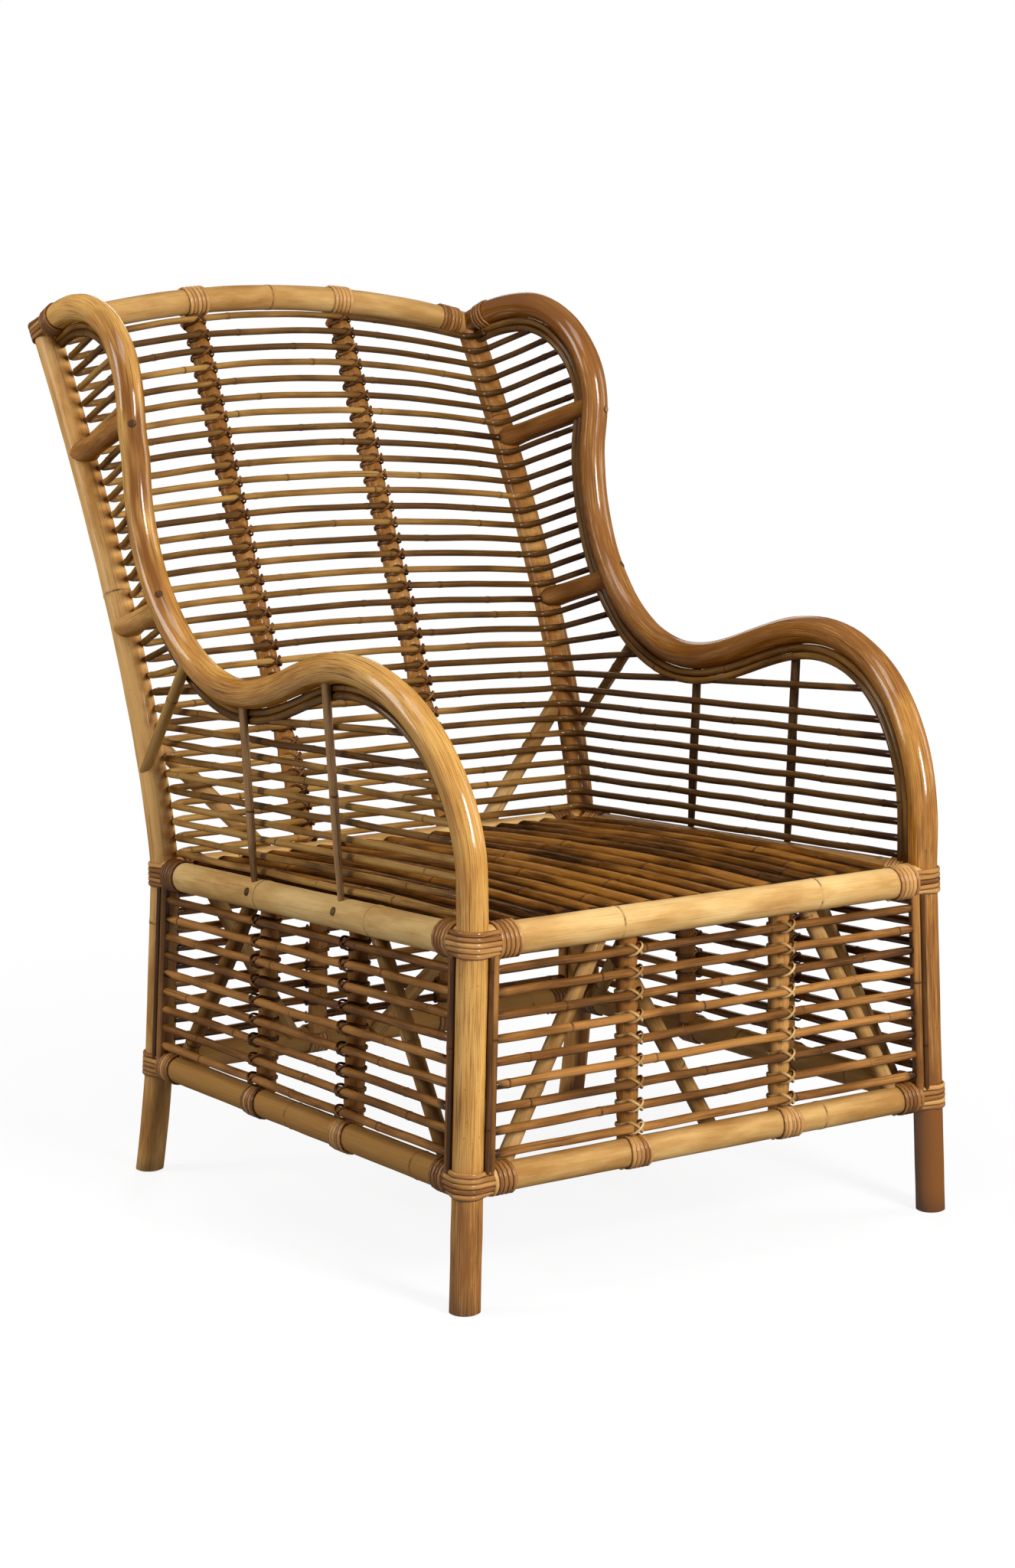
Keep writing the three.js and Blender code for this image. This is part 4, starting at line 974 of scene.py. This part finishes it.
def base_panel(face):
    """One face of the base: its strips, slats, stiles, braces, ties and wraps.
    Gives back the ends of its stiles."""
    one, two, outward, gap, splay = FACES[face]
    ends = []
    for key in (one, two):
        low, high = LEVELS["lower"][0][key[1]], LEVELS["seat"][0][key[1]]
        ends.append((LEGS[key](low), LEGS[key](high), low + LOWER_RAIL, high - SEAT_RAIL))
    along = (ends[1][0] - ends[0][0]).normalized()
    strip_reach = math.sqrt((POLE + END_STRIP + FIT) ** 2 - PANEL_OUTSET ** 2)
    edge_reach = math.sqrt((POLE + EDGE_STRIP) ** 2 - EDGE_OUTSET ** 2)

    def on_strip(i, z):
        low, high = ends[i][:2]
        inward = along * (strip_reach * (1 - 2 * i))
        return low.lerp(high, (z - low.z) / (high.z - low.z)) + inward + outward * PANEL_OUTSET

    def on_rail(level, distance, inset):
        a, b = ends[0][level], ends[1][level]
        return a.lerp(b, 0.5 + distance / (b - a).length) - outward * inset

    def slat_ends(share):
        return [on_strip(i, lerp(ends[i][2], ends[i][3], share)) for i in (0, 1)]

    shares = [(row + 0.5) / BASE_ROWS for row in range(BASE_ROWS)]
    work = Work()
    for i in (0, 1):
        strip = [p + outward * STRIP_PROUD
                 for p in line(on_strip(i, ends[i][0].z), on_strip(i, ends[i][1].z))]
        cane(work, strip, STRIP_SHOWN, 10, SLAT_RINGS, stain=dark_ends(40, 0.5), tint=STRIP_TINT)
        groove = along * ((strip_reach - edge_reach) * (2 * i - 1))
        groove += outward * (EDGE_OUTSET - PANEL_OUTSET)
        edge = line(on_strip(i, ends[i][2] - EDGE_TUCK), on_strip(i, ends[i][3] + EDGE_TUCK))
        cane(work, [p + groove for p in edge], EDGE_STRIP, 8, SLAT_RINGS, tint=EDGE_STRIP_SHADE)
    for share in shares:
        a, b = slat_ends(share)
        length = (b - a).length
        cane(work, waver(line(a, b, 18), 1.4), BASE_SLAT, 9, BASE_RINGS, stain=dark_ends(50, 0.6),
             swelling=0.09, taper=lambda t: 0.9 + 0.1 * smooth(min(t, 1 - t) * length / 12))
    finish_piece(f"{face}_base_canes", work, "brown_cane", f"{face}_base_slats")

    def coped(a, b):
        rise = (b - a).normalized()
        return a + rise * (COPE * LOWER_RAIL / rise.z), b - rise * (COPE * SEAT_RAIL / rise.z)

    labels = ("front", "rear") if face in ("left", "right") else ("left", "right")
    leg_level, stile_level = (0, 1) if splay else (1, 0)
    leg_reach = (ends[1][leg_level] - ends[0][leg_level]).length / 2 - BRACE_FOOT
    stiles = []
    for label, sign in zip(labels, (-1, 1)):
        low, high = [on_rail(level, sign * gap / 2, STILE_INSET) for level in (0, 1)]
        stiles.append((low, high))
        foot, head = coped(low, high)
        held = scallops(*[lerp(ends[0][2], ends[0][3], share) for share in shares[:2]])
        cane_piece(f"{face}_base_{label}_stile", "honey_cane", line(foot, head, 3.0), BASE_STILE,
                   STILE_SIDES, stain=STILE_STAIN, tint=BASE_STILE_TINT,
                   taper=lambda t: held(lerp(foot.z, head.z, t)))
        at_leg = on_rail(leg_level, sign * leg_reach, BRACE_INSET)
        at_stile = on_rail(stile_level, sign * (gap / 2 + BRACE_HEAD), BRACE_INSET)
        route = line(*coped(*sorted((at_leg, at_stile), key=lambda p: p.z)))
        cane_piece(f"{face}_base_{label}_brace", "brace_cane", route, BASE_BRACE, BRACE_SIDES,
                   BRACE_RINGS)

        ties = Work()
        rise = (high - low).normalized()
        for share in shares:
            a, b = slat_ends(share)
            middle = low.lerp(high, share)
            slat = a.lerp(b, (middle - a).dot(along) / (b - a).dot(along))
            tie(ties, slat, -outward, along, rise, BASE_SLAT, BASE_STILE)
        finish_piece(f"{face}_base_{label}_ties", ties, "knot_cane" if face == "front" else "tie_cane")

        work = Work()
        wrap(work, low + outward * STILE_INSET, along, LOWER_RAIL, gather=0.35)
        nodes = (f"front_lower_{label}_binding",) if face == "front" else ()
        finish_piece(f"{face}_lower_{label}_wrap", work, "binding_cane", *nodes)
    return stiles


panel_stiles = {face: base_panel(face) for face in FACES}


def inner_brace(face, stile, inward, foot_x, head_x):
    """A brace behind a panel, resting on a stile and the lower rail."""
    low, high = panel_stiles[face][stile]
    foot = Vector((foot_x, low.y + inward.y * (INNER_INSET - STILE_INSET), LOWER))
    share = (low.x - foot_x) / (head_x - foot_x)
    height = lerp(foot.z, high.z - 2 * SEAT_RAIL, share)
    crossing = low.lerp(high, (height - low.z) / (high.z - low.z))
    crossing += inward * (BASE_STILE + BASE_BRACE + FIT)
    route = line(foot, foot.lerp(crossing, 1 / share))
    cane_piece(f"{face}_inner_brace", "brace_cane", route, BASE_BRACE, BRACE_SIDES, BRACE_RINGS)


inner_brace("front", 0, REAR, INNER_FOOT, -STILE_FOOT_GAP / 2)
inner_brace("rear", 1, -REAR, -INNER_FOOT, REAR_INNER_HEAD)


# Bindings at the corners

WRAP_PLACE, CREST_WRAP, USUAL_SHADE = 34, 28.0, -0.5
WRAP_SHADE = {("right", "front", "seat"): 0.6, ("right", "front", "lower"): 0.0}
CREST_SHADE = {"corner": 0.1, "stile": 0.6}
for level, (heights, radius) in LEVELS.items():
    for (name, end), place in LEGS.items():
        z = heights[end]
        other_end = "rear" if end == "front" else "front"
        corner = place(z)
        along_side = LEGS[(name, other_end)](heights[other_end]) - corner
        along_face = flip(corner, -1) - corner
        upward = place(z + 5) - place(z - 5)
        work = Work()
        corner_bands(work, corner, along_side, along_face, upward, radius, radius)
        for rail in (along_side, along_face):
            middle = corner + rail.normalized() * WRAP_PLACE
            wrap(work, middle, rail, radius, shade=WRAP_SHADE.get((name, end, level), USUAL_SHADE))
        finish_piece(f"{name}_{end}_{level}_corner_binding", work, "binding_cane")

for name, side in SIDES:
    top = flip(rear_post(POST_TOP), side)
    crest_along = flip(on_crest(250) - on_crest(290), side)
    arm_along = flip(arm[-4] - arm[-1], side)
    upward = flip(rear_post(POST_TOP) - rear_post(POST_TOP - 20), side)
    work = Work()
    corner_bands(work, top, arm_along, crest_along, upward, POLE, CREST, 4)
    arm_middle = flip(arm[-1].lerp(arm[-5], 0.68), side)
    wrap(work, arm_middle, arm_along, POLE, 4)
    finish_piece(f"{name}_top_corner_binding", work, "binding_cane")
    corner_x = SEAT_HALF + TOP_SPLAY - POLE - 3 - (CREST_WRAP + 4.6) / 2
    for label, x in (("corner", corner_x), ("stile", STILE_TOP_GAP / 2)):
        x *= side
        along = on_crest(x + CREST_WRAP / 2) - on_crest(x - CREST_WRAP / 2)
        work = Work()
        wrap(work, on_crest(x), along, CREST, shade=CREST_SHADE[label])
        finish_piece(f"{name}_crest_{label}_wrap", work, "binding_cane",
                     f"{name}_crest_{label}_binding")


# A plug has a dark rim and a paler middle: radius, height over the pole, tint
PLUG_RINGS = ((PLUG, 0.5, -2.0), (PLUG - 0.9, 0.9, -0.5))
PLUG_SUNK = -3.0
work = Work()
for place, along in plugs:
    for size, proud, shade in PLUG_RINGS:
        route = [place + along * d for d in (PLUG_SUNK, 0.0, proud * 0.6, proud)]
        cane(work, route, size, 14, blunt=0.8, tint=shade)
finish_piece("wing_and_rail_plugs", work, "split_cane")


# Camera, floor and light

camera = put("camera", bpy.data.cameras.new("camera"))
bpy.context.scene.camera = camera
TURN, TILT, ROLL, DISTANCE = -0.600690, 0.131891, -0.010941, 3.460419
target = Vector((-0.04738, 0.309, 0.515)) + TO_FRAME.translation
back = Vector((math.sin(TURN) * math.cos(TILT), -math.cos(TURN) * math.cos(TILT), math.sin(TILT)))
right = Vector((math.cos(TURN), math.sin(TURN), 0))
pose = Matrix((right, back.cross(right), back)).transposed().to_4x4() @ Matrix.Rotation(ROLL, 4, "Z")
pose.translation = target + back * DISTANCE
camera.matrix_world = pose
camera.data.sensor_width = 36
camera.data.lens = 72.41
camera.data.shift_x, camera.data.shift_y = 0.00475, -0.02536

FLOOR_SIZE, WORLD_LIGHT = 60.0, 0.035
SHADOW_NEAR, SHADOW_FAR, SHADOW_SHARE = 0.8, 1.7, 0.14
bm = bmesh.new()
bmesh.ops.create_grid(bm, x_segments=2, y_segments=2, size=FLOOR_SIZE)
floor_mesh = bpy.data.meshes.new("floor")
bm.to_mesh(floor_mesh)
bm.free()
floor = put("floor", floor_mesh)


def seen_directly(f):
    """One for what the camera, a gloss or a clear surface sees, nought for the light itself."""
    rays = f.node("ShaderNodeLightPath").outputs
    either = f.calc(rays["Is Camera Ray"], rays["Is Glossy Ray"], "MAXIMUM")
    return f.calc(either, rays["Is Transmission Ray"], "MAXIMUM")


WHITE = (1, 1, 1, 1)
white_paper = bpy.data.materials.new("white_paper")
paper = Nodes(white_paper, "Principled BSDF")
seen = seen_directly(paper)
paper_color = paper.mix(seen, srgb("7c7c7a"), WHITE)
paper.fill(paper.shader, {"Base Color": paper_color, "Roughness": 0.9})
glow = paper.node("ShaderNodeEmission", {"Color": WHITE, "Strength": 1.0})
spot = paper.node("ShaderNodeTexCoord").outputs["Object"]
away = paper.node("ShaderNodeVectorMath", {0: spot}, operation="LENGTH").outputs["Value"]
share = paper.span(away, SHADOW_NEAR, SHADOW_FAR, 1 - SHADOW_SHARE, 1.0)
share = paper.calc(seen, share, "MULTIPLY")
parts = {0: share, 1: paper.shader.outputs[0], 2: glow.outputs[0]}
both = paper.node("ShaderNodeMixShader", parts).outputs[0]
paper.fill(paper.nodes["Material Output"], {"Surface": both})
floor_mesh.materials.append(white_paper)

world = bpy.data.worlds.new("studio")
bpy.context.scene.world = world
studio = Nodes(world, "Background")
strength = studio.span(seen_directly(studio), 0.0, 1.0, WORLD_LIGHT, 1.0)
studio.fill(studio.shader, {"Color": WHITE, "Strength": strength})


def softbox(name, place, aim_height, size, power):
    lamp = bpy.data.lights.new(name, "AREA")
    lamp.shape = "RECTANGLE"
    lamp.size, lamp.size_y = size
    lamp.energy = power
    box = put(name, lamp)
    box.location = place
    aim = (UP * aim_height - Vector(place)).to_track_quat("-Z", "Y")
    box.rotation_euler = aim.to_euler()


softbox("key", (0.0, -3.3, 1.7), 0.55, (0.7, 1.4), 124)
softbox("right", (2.8, -1.4, 1.5), 0.5, (1.0, 1.6), 34)
softbox("left", (-2.8, 1.2, 1.7), 0.5, (1.0, 1.6), 52)
softbox("rear", (1.8, 2.8, 1.8), 0.5, (1.2, 1.2), 45)
softbox("top", (-0.9, -0.4, 3.0), 0.4, (1.0, 1.4), 24)

bpy.context.scene.view_settings.view_transform = "Standard"
